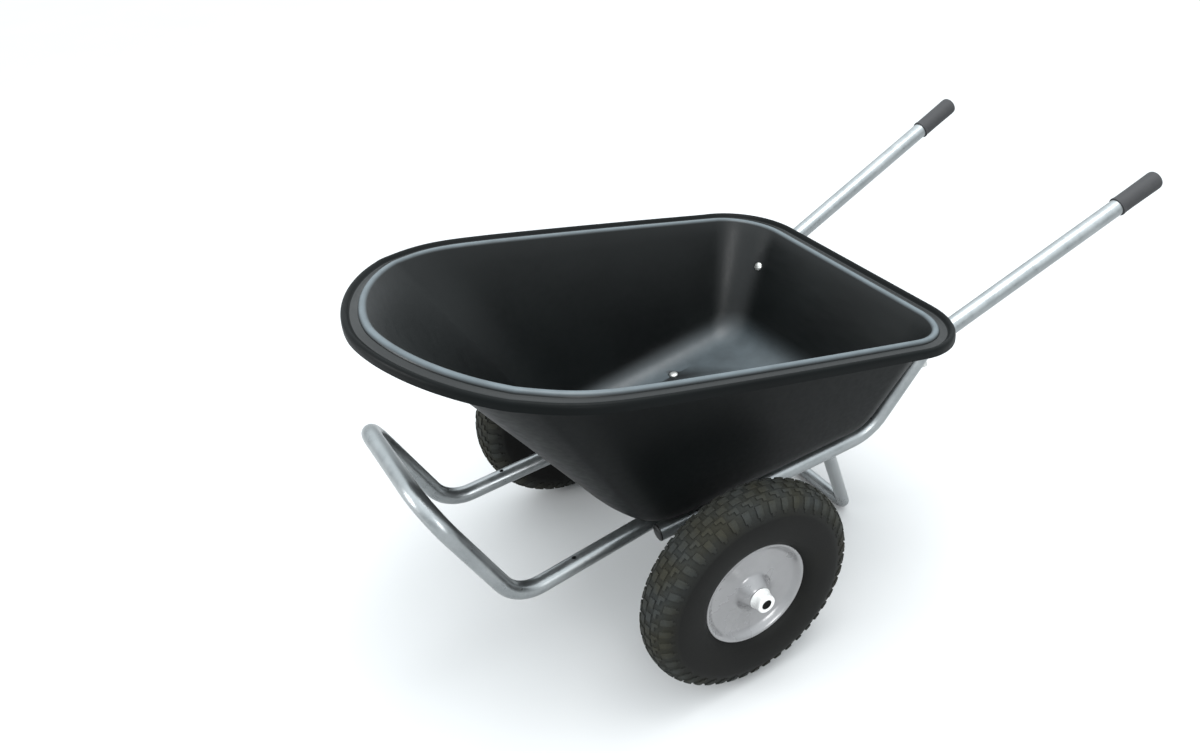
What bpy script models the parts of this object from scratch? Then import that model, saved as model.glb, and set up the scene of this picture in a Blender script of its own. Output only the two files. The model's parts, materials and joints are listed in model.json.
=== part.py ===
"""Two-wheeled poly wheelbarrow, modelled as the separate pieces that it is assembled from.

Metres, +Z up. The nose of the tray points to -Y and the handles to +Y. The ground is z = 0 and
x = 0 is the plane of symmetry. Left is the +X side, as seen by someone holding the handles.
Every y below is counted from the wheel axle. The empty "axle_line" puts the axle where the
origin lies under the middle of the whole barrow.
"""

import math

import bmesh
import bpy
from mathutils import Matrix, Vector

MM = 0.001
GAP = 0.3 * MM

# Placing
AXLE_Y = -265.65 * MM
AXLE_Z = 203 * MM
SIDES = (("left", 1), ("right", -1))

# Deck: the sloping plane that holds the centre lines of the rails and of the hoop's legs
DECK_Z = 253.5 * MM
DECK_RISE = 0.079
DECK_PITCH = math.atan(DECK_RISE)

# Tubes
TUBE_R = 16 * MM
TUBE_WALL = 2 * MM
STAND_R = 12.7 * MM
BEND_STEP = math.radians(17)

# Handle tubes: a rail under the tray, a steep run up its rear corner, then the handle
RAIL_FRONT = (175.5 * MM, -75 * MM)
RAIL_REAR = (202.7 * MM, 377.5 * MM)
HANDLE_BEND = Vector((226 * MM, 489 * MM, 449 * MM))
HANDLE_END = Vector((266 * MM, 997 * MM, 630.5 * MM))
RAIL_BEND_R = 85 * MM
HANDLE_BEND_R = 90 * MM

# Grips
GRIP_R = 18.2 * MM
GRIP_LENGTH = 98 * MM
GRIP_END_WALL = 5 * MM

# Front hoop
HOOP_REAR = (128 * MM, 200 * MM)
HOOP_CORNER = (152 * MM, -346 * MM)
HOOP_TOP = Vector((151 * MM, -459 * MM, 471 * MM))
HOOP_CORNER_R = 70 * MM
HOOP_TOP_R = 72 * MM
HOOP_HOLE_Y = -229 * MM
HOOP_HOLE_R = 4 * MM

# Rear stand
STAND_TOP_Y = 285 * MM
STAND_FOOT = Vector((100 * MM, 419 * MM, STAND_R))
STAND_FOOT_R = 24 * MM

# Cross straps on the rails: the tray rests on both and is bolted to the rear one
STRAPS = {"front": (-22 * MM, 172 * MM), "rear": (183 * MM, 192 * MM)}
STRAP_WIDTH = 44 * MM
STRAP_THICK = 5 * MM

# Tray
TRAY_WALL = 4.5 * MM
TRAY_FLOOR_H = TUBE_R + STRAP_THICK + 2 * GAP + TRAY_WALL
TRAY_FILLET = 52 * MM
RIM_Z = 620 * MM
RIM_FALL = -0.23
FLOOR_PLAN = {"rear_half": 225.5 * MM, "front_half": 207.5 * MM, "front_y": -39 * MM,
              "nose_y": -124.5 * MM, "rear_y": 366.5 * MM, "corner_r": 56.5 * MM, "power": 2.4,
              "bulge": 0.0}
RIM_PLAN = {"rear_half": 306 * MM, "front_half": 291 * MM, "front_y": -197 * MM,
            "nose_y": -438 * MM, "rear_y": 479 * MM, "corner_r": 98 * MM, "power": 1.75,
            "bulge": 3 * MM}
FLAT_CORNER_R = 12 * MM
NOSE_STEPS = 11
SIDE_STEPS = 3
CORNER_STEPS = 5
REAR_STEPS = 2

# Tray bolts
FLOOR_BOLT_X = 168 * MM
WALL_BOLT_Z = 439 * MM
WALL_BOLT_COLUMN = NOSE_STEPS + SIDE_STEPS + CORNER_STEPS - 1
BOLT_R = 4 * MM
BOLT_HOLE_R = 4.6 * MM
HEAD_R = 9 * MM
HEAD_H = 4.5 * MM
SEAT_DEPTH = 10 * MM
SEAT_SINK = 0.6 * MM
NUT_R = 7.6 * MM
NUT_H = 6 * MM

# Axle hangers
HANGER_Y = (-34 * MM, 40 * MM)
HANGER_PLATE = 2.6 * MM
HANGER_BOTTOM = 188 * MM
HANGER_TOP = 258 * MM
HANGER_BOLTS = ((-20 * MM, True), (26 * MM, False))

# Axle and wheels, with x counted outwards from the wheel's middle plane
AXLE_R = 8 * MM
WHEEL_X = 329 * MM
AXLE_HALF = WHEEL_X + 56 * MM
HUB_INNER = -44 * MM
HUB_OUTER = 61 * MM
HUB_R = 17 * MM
HUB_BORE = 12 * MM
CAP_BORE = 9.4 * MM
BUSH_BORE = 8.35 * MM
BUSH_LENGTH = 22 * MM
ROUND_STEPS = 24
SMALL_STEPS = 16


def clear_scene():
    """Remove every object of the scene that is open."""
    for item in list(bpy.data.objects):
        bpy.data.objects.remove(item, do_unlink=True)


def new_collection(name):
    """Make a collection and link it to the scene."""
    collection = bpy.data.collections.new(name)
    bpy.context.scene.collection.children.link(collection)
    return collection


clear_scene()
BARROW = new_collection("wheelbarrow")
CUTTERS = new_collection("cutters")


# ---------------------------------------------------------------- materials

def make_material(name, colour, roughness, metallic):
    """A Principled material of one finish."""
    material = bpy.data.materials.new(name)
    material.use_nodes = True
    shader = material.node_tree.nodes["Principled BSDF"]
    shader.inputs["Base Color"].default_value = (*colour, 1.0)
    shader.inputs["Roughness"].default_value = roughness
    shader.inputs["Metallic"].default_value = metallic
    material.diffuse_color = (*colour, 1.0)
    return material


FINISHES = {
    "poly": make_material("black_polyethylene", (0.012, 0.013, 0.014), 0.42, 0.0),
    "galvanised": make_material("galvanised_steel", (0.55, 0.57, 0.58), 0.38, 0.9),
    "black_steel": make_material("black_painted_steel", (0.02, 0.02, 0.021), 0.45, 0.0),
    "plug": make_material("black_plastic", (0.018, 0.018, 0.018), 0.5, 0.0),
    "grip": make_material("grip_rubber", (0.035, 0.035, 0.037), 0.75, 0.0),
    "tyre": make_material("tyre_rubber", (0.035, 0.034, 0.028), 0.85, 0.0),
    "rim": make_material("silver_painted_steel", (0.55, 0.55, 0.56), 0.4, 0.3),
    "hub": make_material("bright_zinc", (0.75, 0.74, 0.7), 0.25, 1.0),
    "fastener": make_material("zinc_fastener", (0.7, 0.7, 0.7), 0.3, 1.0),
    "bush": make_material("nylon_bush", (0.75, 0.74, 0.7), 0.5, 0.0),
}


# ---------------------------------------------------------------- placing

def empty_at(name, place, parent=None):
    """An empty that carries other objects."""
    holder = bpy.data.objects.new(name, None)
    holder.empty_display_size = 0.05
    holder.location = place
    holder.parent = parent
    BARROW.objects.link(holder)
    return holder


AXLE_LINE = empty_at("axle_line", (0, AXLE_Y, 0))


def put(name, data, finish, parent=None):
    """Link a mesh or curve as a named piece with its finish."""
    data.name = name
    piece = bpy.data.objects.new(name, data)
    data.materials.append(FINISHES[finish])
    piece.parent = parent or AXLE_LINE
    BARROW.objects.link(piece)
    return piece


def deck(x, y, height=0.0):
    """A point above the deck plane: y runs along the slope and height stands square to it."""
    along = Vector((0, math.cos(DECK_PITCH), math.sin(DECK_PITCH)))
    square = Vector((0, -math.sin(DECK_PITCH), math.cos(DECK_PITCH)))
    return Vector((x, 0, DECK_Z)) + along * y + square * height


def mirrored(point, side):
    """The point, on the side asked for."""
    return Vector((point[0] * side, point[1], point[2]))


def aim(piece, place, direction):
    """Put a piece at a place with its own +Z along a direction."""
    piece.location = place
    piece.rotation_mode = "QUATERNION"
    piece.rotation_quaternion = Vector(direction).to_track_quat("Z", "Y")


def smooth(mesh):
    """Smooth-shade a mesh, keeping its sharp corners sharp."""
    mesh.polygons.foreach_set("use_smooth", [True] * len(mesh.polygons))
    mesh.set_sharp_from_angle(angle=math.radians(35))


# ---------------------------------------------------------------- shapes

def profile_area(profile):
    """Signed area inside a profile of (radius, height) points."""
    ring = zip(profile, profile[1:] + profile[:1])
    return sum(r0 * h1 - r1 * h0 for (r0, h0), (r1, h1) in ring) / 2


def turned(name, profile, finish, steps=SMALL_STEPS, closed=True, parent=None):
    """A turned piece: a profile of (radius, height) points spun about its own Z."""
    mesh = bpy.data.meshes.new(name)
    edges = [(i, i + 1) for i in range(len(profile) - 1)]
    if closed:
        edges.append((len(profile) - 1, 0))
    mesh.from_pydata([(r, 0, h) for r, h in profile], edges, [])
    piece = put(name, mesh, finish, parent)
    screw = piece.modifiers.new("turn", "SCREW")
    screw.axis = "Z"
    screw.steps = steps
    screw.render_steps = steps
    screw.use_merge_vertices = True
    screw.merge_threshold = 1e-5
    screw.use_normal_flip = profile_area(profile) > 0
    screw.use_smooth_shade = True
    return piece


def bent(corners, radii):
    """Centre line through the corners, with each inner corner rounded to its radius."""
    line = [corners[0]]
    for before, corner, after, radius in zip(corners, corners[1:], corners[2:], radii):
        back = (before - corner).normalized()
        ahead = (after - corner).normalized()
        turn = math.pi - back.angle(ahead)
        reach = radius * math.tan(turn / 2)
        centre = corner + (back + ahead).normalized() * radius / math.cos(turn / 2)
        start = corner + back * reach - centre
        axis = back.cross(ahead).normalized()
        steps = max(2, round(turn / BEND_STEP))
        for k in range(steps + 1):
            line.append(centre + Matrix.Rotation(-turn * k / steps, 3, axis) @ start)
    line.append(corners[-1])
    return line


def tube(name, line, radius, finish):
    """A hollow tube with open ends along a centre line."""
    curve = bpy.data.curves.new(name + "_line", "CURVE")
    curve.dimensions = "3D"
    curve.bevel_depth = radius
    curve.bevel_resolution = 4
    curve.use_fill_caps = False
    spline = curve.splines.new("POLY")
    spline.points.add(len(line) - 1)
    for point, place in zip(spline.points, line):
        point.co = (*place, 1)
    holder = bpy.data.objects.new(name + "_line", curve)
    BARROW.objects.link(holder)
    graph = bpy.context.evaluated_depsgraph_get()
    mesh = bpy.data.meshes.new_from_object(holder.evaluated_get(graph))
    bpy.data.objects.remove(holder, do_unlink=True)
    weld(mesh)
    mesh.materials.clear()
    piece = put(name, mesh, finish)
    wall = piece.modifiers.new("wall", "SOLIDIFY")
    wall.thickness = TUBE_WALL
    wall.offset = -1
    smooth(mesh)
    return piece


def weld(mesh):
    """Merge doubled points and turn every face outwards."""
    work = bmesh.new()
    work.from_mesh(mesh)
    bmesh.ops.remove_doubles(work, verts=work.verts, dist=1e-6)
    bmesh.ops.recalc_face_normals(work, faces=work.faces)
    work.to_mesh(mesh)
    work.free()


def box(name, size, finish, parent=None):
    """A block, centred on its own origin."""
    mesh = bpy.data.meshes.new(name)
    work = bmesh.new()
    bmesh.ops.create_cube(work, size=1.0)
    bmesh.ops.scale(work, vec=size, verts=work.verts)
    work.to_mesh(mesh)
    work.free()
    return put(name, mesh, finish, parent)


def drill(piece, place, direction, radius, length, steps=12):
    """Cut a round hole through a piece, centred on a place."""
    mesh = bpy.data.meshes.new("cutter")
    work = bmesh.new()
    bmesh.ops.create_cone(work, cap_ends=True, segments=steps, radius1=radius,
                          radius2=radius, depth=length)
    work.to_mesh(mesh)
    work.free()
    cutter = bpy.data.objects.new(piece.name + "_cutter", mesh)
    cutter.parent = AXLE_LINE
    cutter.hide_render = True
    cutter.display_type = "WIRE"
    CUTTERS.objects.link(cutter)
    aim(cutter, place, direction)
    cut = piece.modifiers.new("hole", "BOOLEAN")
    cut.operation = "DIFFERENCE"
    cut.solver = "EXACT"
    cut.object = cutter
    return cutter


# ---------------------------------------------------------------- fasteners

def bolt(name, under_head, direction, length):
    """A round-headed bolt whose shank leaves under_head along direction."""
    profile = [(0, -HEAD_H), (HEAD_R * 0.45, -HEAD_H * 0.93), (HEAD_R * 0.8, -HEAD_H * 0.62),
               (HEAD_R, 0), (BOLT_R, 0), (BOLT_R, length), (0, length)]
    piece = turned(name, profile, "fastener", steps=12, closed=False)
    aim(piece, under_head, direction)
    return piece


def nut(name, place, direction):
    """A hexagon nut with its seat at a place, standing along direction."""
    bore = BOLT_HOLE_R * 1.12
    profile = [(bore, 0), (NUT_R, 0), (NUT_R, NUT_H), (bore, NUT_H)]
    piece = turned(name, profile, "fastener", steps=6)
    aim(piece, place, direction)
    return piece


# ---------------------------------------------------------------- tray

def corner_arc(before, corner, after, radius, steps):
    """Round one corner of a flat outline; both tangent points are included."""
    back = (before - corner).normalized()
    ahead = (after - corner).normalized()
    half = back.angle(ahead) / 2
    centre = corner + (back + ahead).normalized() * radius / math.sin(half)
    start = corner + back * radius / math.tan(half) - centre
    sweep = math.pi - 2 * half
    turn = 1 if back.x * ahead.y - back.y * ahead.x < 0 else -1
    arc = []
    for k in range(steps + 1):
        angle = turn * sweep * k / steps
        arc.append(centre + Matrix.Rotation(angle, 2) @ start)
    return arc


def half_outline(plan):
    """The x >= 0 half of a D-shaped outline, from the nose to the middle of the rear."""
    front = Vector((plan["front_half"], plan["front_y"]))
    corner = Vector((plan["rear_half"], plan["rear_y"]))
    middle = Vector((0, plan["rear_y"]))
    depth = plan["front_y"] - plan["nose_y"]
    outline = []
    for k in range(NOSE_STEPS):
        angle = math.pi / 2 * k / NOSE_STEPS
        across = plan["front_half"] * math.sin(angle) ** (2 / plan["power"])
        ahead = depth * math.cos(angle) ** (2 / plan["power"])
        outline.append(Vector((across, plan["front_y"] - ahead)))
    arc = corner_arc(front, corner, middle, plan["corner_r"], CORNER_STEPS)
    for k in range(SIDE_STEPS):
        share = k / SIDE_STEPS
        point = front.lerp(arc[0], share)
        point.x += plan["bulge"] * math.sin(math.pi * share)
        outline.append(point)
    outline += arc
    outline += [arc[-1].lerp(middle, (k + 1) / REAR_STEPS) for k in range(REAR_STEPS)]
    return outline


def inset_plan(plan, inset):
    """The plan of the same D shape, smaller all round."""
    return {**plan, "rear_half": plan["rear_half"] - inset,
            "front_half": plan["front_half"] - inset, "nose_y": plan["nose_y"] + inset,
            "rear_y": plan["rear_y"] - inset, "corner_r": FLAT_CORNER_R}


def inward_normals(outline):
    """Unit vectors that point into a half outline, square to it."""
    normals = []
    for k, point in enumerate(outline):
        before = outline[k - 1] if k else Vector((-outline[1].x, outline[1].y))
        if k + 1 < len(outline):
            after = outline[k + 1]
        else:
            after = Vector((-outline[-2].x, outline[-2].y))
        along = (after - before).normalized()
        normals.append(Vector((-along.y, along.x)))
    return normals


def deck_height(y, height):
    """World height of a plane that stands above the deck by a square distance."""
    return DECK_Z + DECK_RISE * y + height / math.cos(DECK_PITCH)


def rim_section():
    """The rim's section from the wall to the skirt: (outward, up) from the crest."""
    crest_r = 8 * MM
    section = []
    for k in range(5):
        angle = math.radians(160 - 36.25 * k)
        section.append((crest_r * math.cos(angle), crest_r * (math.sin(angle) - 1)))
    section += [(13 * MM, -6 * MM), (21 * MM, -7 * MM), (25 * MM, -2.5 * MM), (29 * MM, -1 * MM),
                (33 * MM, -4 * MM), (34.5 * MM, -9 * MM), (35 * MM, -17 * MM)]
    return section


def tray_rings():
    """Rings of the tray's inner and upper face, from the floor to the skirt."""
    floor = half_outline(FLOOR_PLAN)
    rim = half_outline(RIM_PLAN)
    inset = half_outline(inset_plan(FLOOR_PLAN, TRAY_FILLET))
    rim_in = inward_normals(rim)
    section = rim_section()
    rings = [[] for _ in range(7)]
    for low, inner, high, high_in in zip(floor, inset, rim, rim_in):
        corner = Vector((*low, deck_height(low.y, TRAY_FLOOR_H)))
        flat = Vector((*inner, deck_height(inner.y, TRAY_FLOOR_H)))
        top = high - high_in * section[0][0]
        wall_top = Vector((*top, RIM_Z + RIM_FALL * high.y + section[0][1]))
        wall_low = corner + (wall_top - corner).normalized() * TRAY_FILLET
        for k in range(5):
            share = k / 4
            rings[k].append(flat.lerp(corner, share).lerp(corner.lerp(wall_low, share), share))
        rings[5].append(wall_low.lerp(wall_top, 0.5))
        rings[6].append(wall_top)
    for out, up in section[1:]:
        ring = []
        for high, high_in in zip(rim, rim_in):
            point = high - high_in * out
            ring.append(Vector((*point, RIM_Z + RIM_FALL * high.y + up)))
        rings.append(ring)
    return rings


def make_tray():
    """The moulded tray: one open surface, mirrored and given its wall."""
    work = bmesh.new()
    rings = [[work.verts.new(point) for point in ring] for ring in tray_rings()]
    for ring in rings:
        ring[0].co.x = 0
        ring[-1].co.x = 0
    work.faces.new(rings[0])
    for low, high in zip(rings, rings[1:]):
        for k in range(len(low) - 1):
            work.faces.new((low[k], low[k + 1], high[k + 1], high[k]))
    bmesh.ops.recalc_face_normals(work, faces=work.faces)
    if work.faces[0].normal.z > 0:
        bmesh.ops.reverse_faces(work, faces=work.faces)
    mesh = bpy.data.meshes.new("tray")
    work.to_mesh(mesh)
    work.free()
    tray = put("tray", mesh, "poly")
    mirror = tray.modifiers.new("other_half", "MIRROR")
    mirror.use_axis[0] = True
    mirror.merge_threshold = 1e-5
    mirror.use_clip = True
    wall = tray.modifiers.new("wall", "SOLIDIFY")
    wall.thickness = TRAY_WALL
    wall.offset = 1
    wall.use_even_offset = True
    smooth(mesh)
    return tray


# ---------------------------------------------------------------- frame

def handle_line(side):
    """Corners of one handle tube, from its front end to its grip."""
    corners = [deck(*RAIL_FRONT), deck(*RAIL_REAR), HANDLE_BEND, HANDLE_END]
    return [mirrored(corner, side) for corner in corners]


def rail_x(y):
    """Distance of a rail's centre from the plane of symmetry."""
    share = (y - RAIL_FRONT[1]) / (RAIL_REAR[1] - RAIL_FRONT[1])
    return RAIL_FRONT[0] + (RAIL_REAR[0] - RAIL_FRONT[0]) * share


def leg_x(y):
    """Distance of a hoop leg's centre from the plane of symmetry."""
    share = (y - HOOP_CORNER[1]) / (HOOP_REAR[1] - HOOP_CORNER[1])
    return HOOP_CORNER[0] + (HOOP_REAR[0] - HOOP_CORNER[0]) * share


def make_handles():
    """Both handle tubes, keyed by side."""
    tubes = {}
    for side_name, side in SIDES:
        line = bent(handle_line(side), (RAIL_BEND_R, HANDLE_BEND_R))
        tubes[side_name] = tube("handle_tube_" + side_name, line, TUBE_R, "galvanised")
    return tubes


def make_hoop():
    """The front hoop that the barrow tips on."""
    half = [deck(*HOOP_REAR), deck(*HOOP_CORNER), HOOP_TOP]
    corners = half + [mirrored(corner, -1) for corner in reversed(half)]
    radii = (HOOP_CORNER_R, HOOP_TOP_R, HOOP_TOP_R, HOOP_CORNER_R)
    hoop = tube("front_hoop", bent(corners, radii), TUBE_R, "galvanised")
    for _, side in SIDES:
        top = deck(leg_x(HOOP_HOLE_Y) * side, HOOP_HOLE_Y, TUBE_R)
        drill(hoop, top, (0, 0, 1), HOOP_HOLE_R, TUBE_R)
    return hoop


def make_stand():
    """The U-shaped rear stand, coped to the underside of the rails."""
    top = deck(rail_x(STAND_TOP_Y), STAND_TOP_Y)
    half = [top, STAND_FOOT]
    corners = half + [mirrored(corner, -1) for corner in reversed(half)]
    stand = tube("rear_stand", bent(corners, (STAND_FOOT_R, STAND_FOOT_R)), STAND_R,
                 "galvanised")
    for _, side in SIDES:
        along = mirrored(deck(*RAIL_REAR) - deck(*RAIL_FRONT), side)
        drill(stand, mirrored(top, side), along, TUBE_R + GAP, 160 * MM, steps=24)


def plug(name, place, direction):
    """A plastic plug that closes a tube's open end."""
    skirt = TUBE_R - TUBE_WALL - 0.9 * MM
    profile = [(0, -14 * MM), (skirt, -14 * MM), (skirt, GAP), (TUBE_R, GAP),
               (TUBE_R, 2 * MM), (TUBE_R * 0.8, 4.5 * MM), (0, 6 * MM)]
    piece = turned(name, profile, "plug", closed=False)
    aim(piece, place, direction)
    return piece


def grip(side_name, side):
    """A rubber grip sleeve over the end of a handle tube."""
    corners = handle_line(side)
    direction = (corners[-1] - corners[-2]).normalized()
    bore = TUBE_R + GAP
    depth = GRIP_LENGTH - GRIP_END_WALL - GAP
    profile = [(0, GAP), (bore, GAP), (bore, -depth), (GRIP_R - 1 * MM, -depth),
               (GRIP_R, -depth + 2 * MM), (GRIP_R, GRIP_END_WALL - 5 * MM),
               (GRIP_R - 2.5 * MM, GRIP_END_WALL - 1 * MM), (0, GRIP_END_WALL)]
    piece = turned("grip_" + side_name, profile, "grip", steps=20, closed=False)
    aim(piece, corners[-1], direction)


def make_strap(row):
    """A flat cross strap that lies on both rails."""
    y, half = STRAPS[row]
    strap = box("cross_strap_" + row, (2 * half, STRAP_WIDTH, STRAP_THICK), "galvanised")
    strap.location = deck(0, y, TUBE_R + GAP + STRAP_THICK / 2)
    strap.rotation_euler = (DECK_PITCH, 0, 0)
    return strap


def make_hanger(side_name, side):
    """A folded plate that hangs the axle under a rail."""
    inner = TUBE_R + 0.5 * MM
    outer = inner + HANGER_PLATE
    section = [(-outer, HANGER_TOP), (-outer, HANGER_BOTTOM), (outer, HANGER_BOTTOM),
               (outer, HANGER_TOP), (inner, HANGER_TOP), (inner, HANGER_BOTTOM + HANGER_PLATE),
               (-inner, HANGER_BOTTOM + HANGER_PLATE), (-inner, HANGER_TOP)]
    mesh = bpy.data.meshes.new("axle_hanger")
    work = bmesh.new()
    face = work.faces.new([work.verts.new((x, HANGER_Y[0], z)) for x, z in section])
    grown = bmesh.ops.extrude_face_region(work, geom=[face])
    new = [item for item in grown["geom"] if isinstance(item, bmesh.types.BMVert)]
    bmesh.ops.translate(work, verts=new, vec=(0, HANGER_Y[1] - HANGER_Y[0], 0))
    bmesh.ops.recalc_face_normals(work, faces=work.faces)
    work.to_mesh(mesh)
    work.free()
    hanger = put("axle_hanger_" + side_name, mesh, "black_steel")
    splay = math.atan((rail_x(1) - rail_x(0)) / math.cos(DECK_PITCH))
    hanger.location = (rail_x(0) * side, 0, 0)
    hanger.rotation_euler = (0, 0, -splay * side)
    return hanger


def make_frame():
    """Tray, tubes, straps, hangers and everything that fastens them together."""
    tray = make_tray()
    tubes = make_handles()
    hoop = make_hoop()
    make_stand()
    make_strap("front")
    strap = make_strap("rear")
    for side_name, side in SIDES:
        corners = handle_line(side)
        plug("rail_plug_" + side_name, corners[0], corners[0] - corners[1])
        leg_end = mirrored(deck(*HOOP_REAR), side)
        leg_way = leg_end - mirrored(deck(*HOOP_CORNER), side)
        plug("hoop_plug_" + side_name, leg_end, leg_way)
        grip(side_name, side)
        floor_bolt(side_name, side, tray, strap)
        wall_bolt(side_name, side, tray, tubes[side_name])
        hanger = make_hanger(side_name, side)
        for place, through_leg in HANGER_BOLTS:
            hanger_bolt(side_name, side, place, (hanger, tubes[side_name]),
                        hoop if through_leg else None)
        drill(hanger, (rail_x(0) * side, 0, AXLE_Z), (1, 0, 0), AXLE_R + 0.4 * MM, 0.06,
              steps=16)


def sink_seat(tray, seat, direction):
    """Cut a round flat seat into the tray's inner face for a bolt head, and the bolt's hole."""
    drill(tray, seat - direction * SEAT_DEPTH / 2, direction, HEAD_R + 0.6 * MM, SEAT_DEPTH, 24)
    drill(tray, seat, direction, BOLT_HOLE_R, 0.03)


def floor_bolt(side_name, side, tray, strap):
    """A round-headed bolt down through the tray's floor and the rear cross strap."""
    down = deck(0, 0) - deck(0, 0, 1)
    seat_h = TRAY_FLOOR_H - SEAT_SINK
    nut_h = TUBE_R
    y = STRAPS["rear"][0]
    head = deck(FLOOR_BOLT_X * side, y, seat_h + GAP)
    under = deck(FLOOR_BOLT_X * side, y, nut_h)
    length = seat_h + GAP - nut_h + NUT_H + 5 * MM
    bolt("floor_bolt_" + side_name, head, down, length)
    nut("floor_nut_" + side_name, under, down)
    sink_seat(tray, head + down * GAP, down)
    drill(strap, under, down, BOLT_HOLE_R, 0.03)


def wall_place():
    """Where the wall bolt meets the inner face of the tray's left rear corner."""
    rings = tray_rings()
    low = rings[4][WALL_BOLT_COLUMN]
    high = rings[6][WALL_BOLT_COLUMN]
    return low.lerp(high, (WALL_BOLT_Z - low.z) / (high.z - low.z))


def wall_bolt(side_name, side, tray, handle):
    """A bolt through the tray's rear corner, a spacer and the steep run of a handle tube."""
    place = wall_place()
    start = deck(*RAIL_REAR)
    run = (HANDLE_BEND - start).normalized()
    crossing = start + run * (place - start).dot(run)
    reach = (crossing - place).length - SEAT_SINK
    back = mirrored((crossing - place).normalized(), side)
    seat = mirrored(place, side) + back * SEAT_SINK
    tube_front = reach - TUBE_R - 1.2 * MM
    bolt("wall_bolt_" + side_name, seat - back * GAP, back, reach + TUBE_R + NUT_H + 6 * MM)
    nut("wall_nut_" + side_name, seat + back * (reach + TUBE_R + 1.2 * MM), back)
    spacer_start = TRAY_WALL + 1.5 * MM
    spacer_length = tube_front - spacer_start
    profile = [(5.2 * MM, 0), (9 * MM, 0), (9 * MM, spacer_length), (5.2 * MM, spacer_length)]
    spacer = turned("wall_spacer_" + side_name, profile, "plug")
    aim(spacer, seat + back * spacer_start, back)
    sink_seat(tray, seat, back)
    drill(handle, seat + back * reach, back, BOLT_HOLE_R, 0.05)


def hanger_bolt(side_name, side, place, pieces, hoop):
    """A cross bolt through a hanger and its rail, and through the hoop's leg if given."""
    outward = Vector((side, 0, 0))
    centre = deck(rail_x(place) * side, place)
    head_reach = TUBE_R + HANGER_PLATE + 1.6 * MM
    inner_reach = head_reach
    if hoop:
        inner_reach = rail_x(place) - leg_x(place) + TUBE_R + 0.8 * MM
        drill(hoop, mirrored(deck(leg_x(place), place), side), outward, BOLT_HOLE_R, 0.05)
    for piece in pieces:
        drill(piece, centre, outward, BOLT_HOLE_R, 0.05)
    row = "front" if hoop else "rear"
    head = centre + outward * head_reach
    bolt(f"hanger_bolt_{row}_{side_name}", head, -outward,
         head_reach + inner_reach + NUT_H + 1 * MM)
    nut(f"hanger_nut_{row}_{side_name}", centre - outward * inner_reach, -outward)


# ---------------------------------------------------------------- axle and wheels

def make_axle():
    """The through axle with its spacers and end clips."""
    profile = [(0, -AXLE_HALF), (AXLE_R - 1 * MM, -AXLE_HALF), (AXLE_R, 1 * MM - AXLE_HALF),
               (AXLE_R, AXLE_HALF - 1 * MM), (AXLE_R - 1 * MM, AXLE_HALF), (0, AXLE_HALF)]
    axle = turned("axle", profile, "galvanised", closed=False)
    aim(axle, (0, 0, AXLE_Z), (1, 0, 0))
    for side_name, side in SIDES:
        outward = (side, 0, 0)
        near = rail_x(0) + TUBE_R + HANGER_PLATE + 4.5 * MM
        far = WHEEL_X + HUB_INNER - 1 * MM
        profile = [(AXLE_R + GAP, near), (AXLE_R + 3 * MM, near), (AXLE_R + 3 * MM, far),
                   (AXLE_R + GAP, far)]
        spacer = turned("axle_spacer_" + side_name, profile, "galvanised")
        aim(spacer, (0, 0, AXLE_Z), outward)
        start = WHEEL_X + HUB_OUTER - 9 * MM
        profile = [(AXLE_R + GAP, start), (HUB_BORE - 1 * MM, start),
                   (HUB_BORE - 1 * MM, start + 1.5 * MM), (AXLE_R + GAP, start + 1.5 * MM)]
        clip = turned("axle_clip_" + side_name, profile, "fastener")
        aim(clip, (0, 0, AXLE_Z), outward)


def tyre_profile():
    """Section of the tyre as (radius, x): a tread, round shoulders and beads on the rim."""
    outside = [(94.4, 24.0), (97.6, 26.6), (100.8, 28.4), (103.0, 33.0), (114, 40.5),
               (136, 44.5), (160, 44.0), (181, 38.0), (195, 27.5), (203, 0)]
    inside = [(195, 0), (186, 24), (160, 37.5), (130, 37.5), (106, 23), (96, 17.5),
              (94.4, 17.0)]
    ring = outside + [(r, -x) for r, x in reversed(outside[:-1])]
    ring += [(r, -x) for r, x in reversed(inside)] + inside[1:]
    return [(r * MM, x * MM) for r, x in ring]


def sheet(name, profile, finish, thickness, parent, steps=ROUND_STEPS):
    """A pressed sheet-metal ring: an open profile, spun and given its thickness."""
    piece = turned(name, profile, finish, steps, closed=False, parent=parent)
    wall = piece.modifiers.new("sheet", "SOLIDIFY")
    wall.thickness = thickness
    wall.offset = 0
    return piece


def barrel_profile():
    """Centre line of the rim's rolled section."""
    half = [(99.0, 30.0), (95.2, 28.6), (92.8, 24.0), (92.8, 16.0), (86.0, 10.5)]
    side = [(r * MM, x * MM) for r, x in half]
    return side + [(r, -x) for r, x in reversed(side)]


def disc_profile():
    """Centre line of a wheel disc, from its turned edge to the hub."""
    points = [(90.2, 25.5), (90.2, 20.0), (87.0, 15.5), (79.0, 14.0), (50.0, 15.5),
              (34.0, 20.0), (25.0, 33.0), (18.4, 40.0)]
    return [(r * MM, x * MM) for r, x in points]


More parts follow.
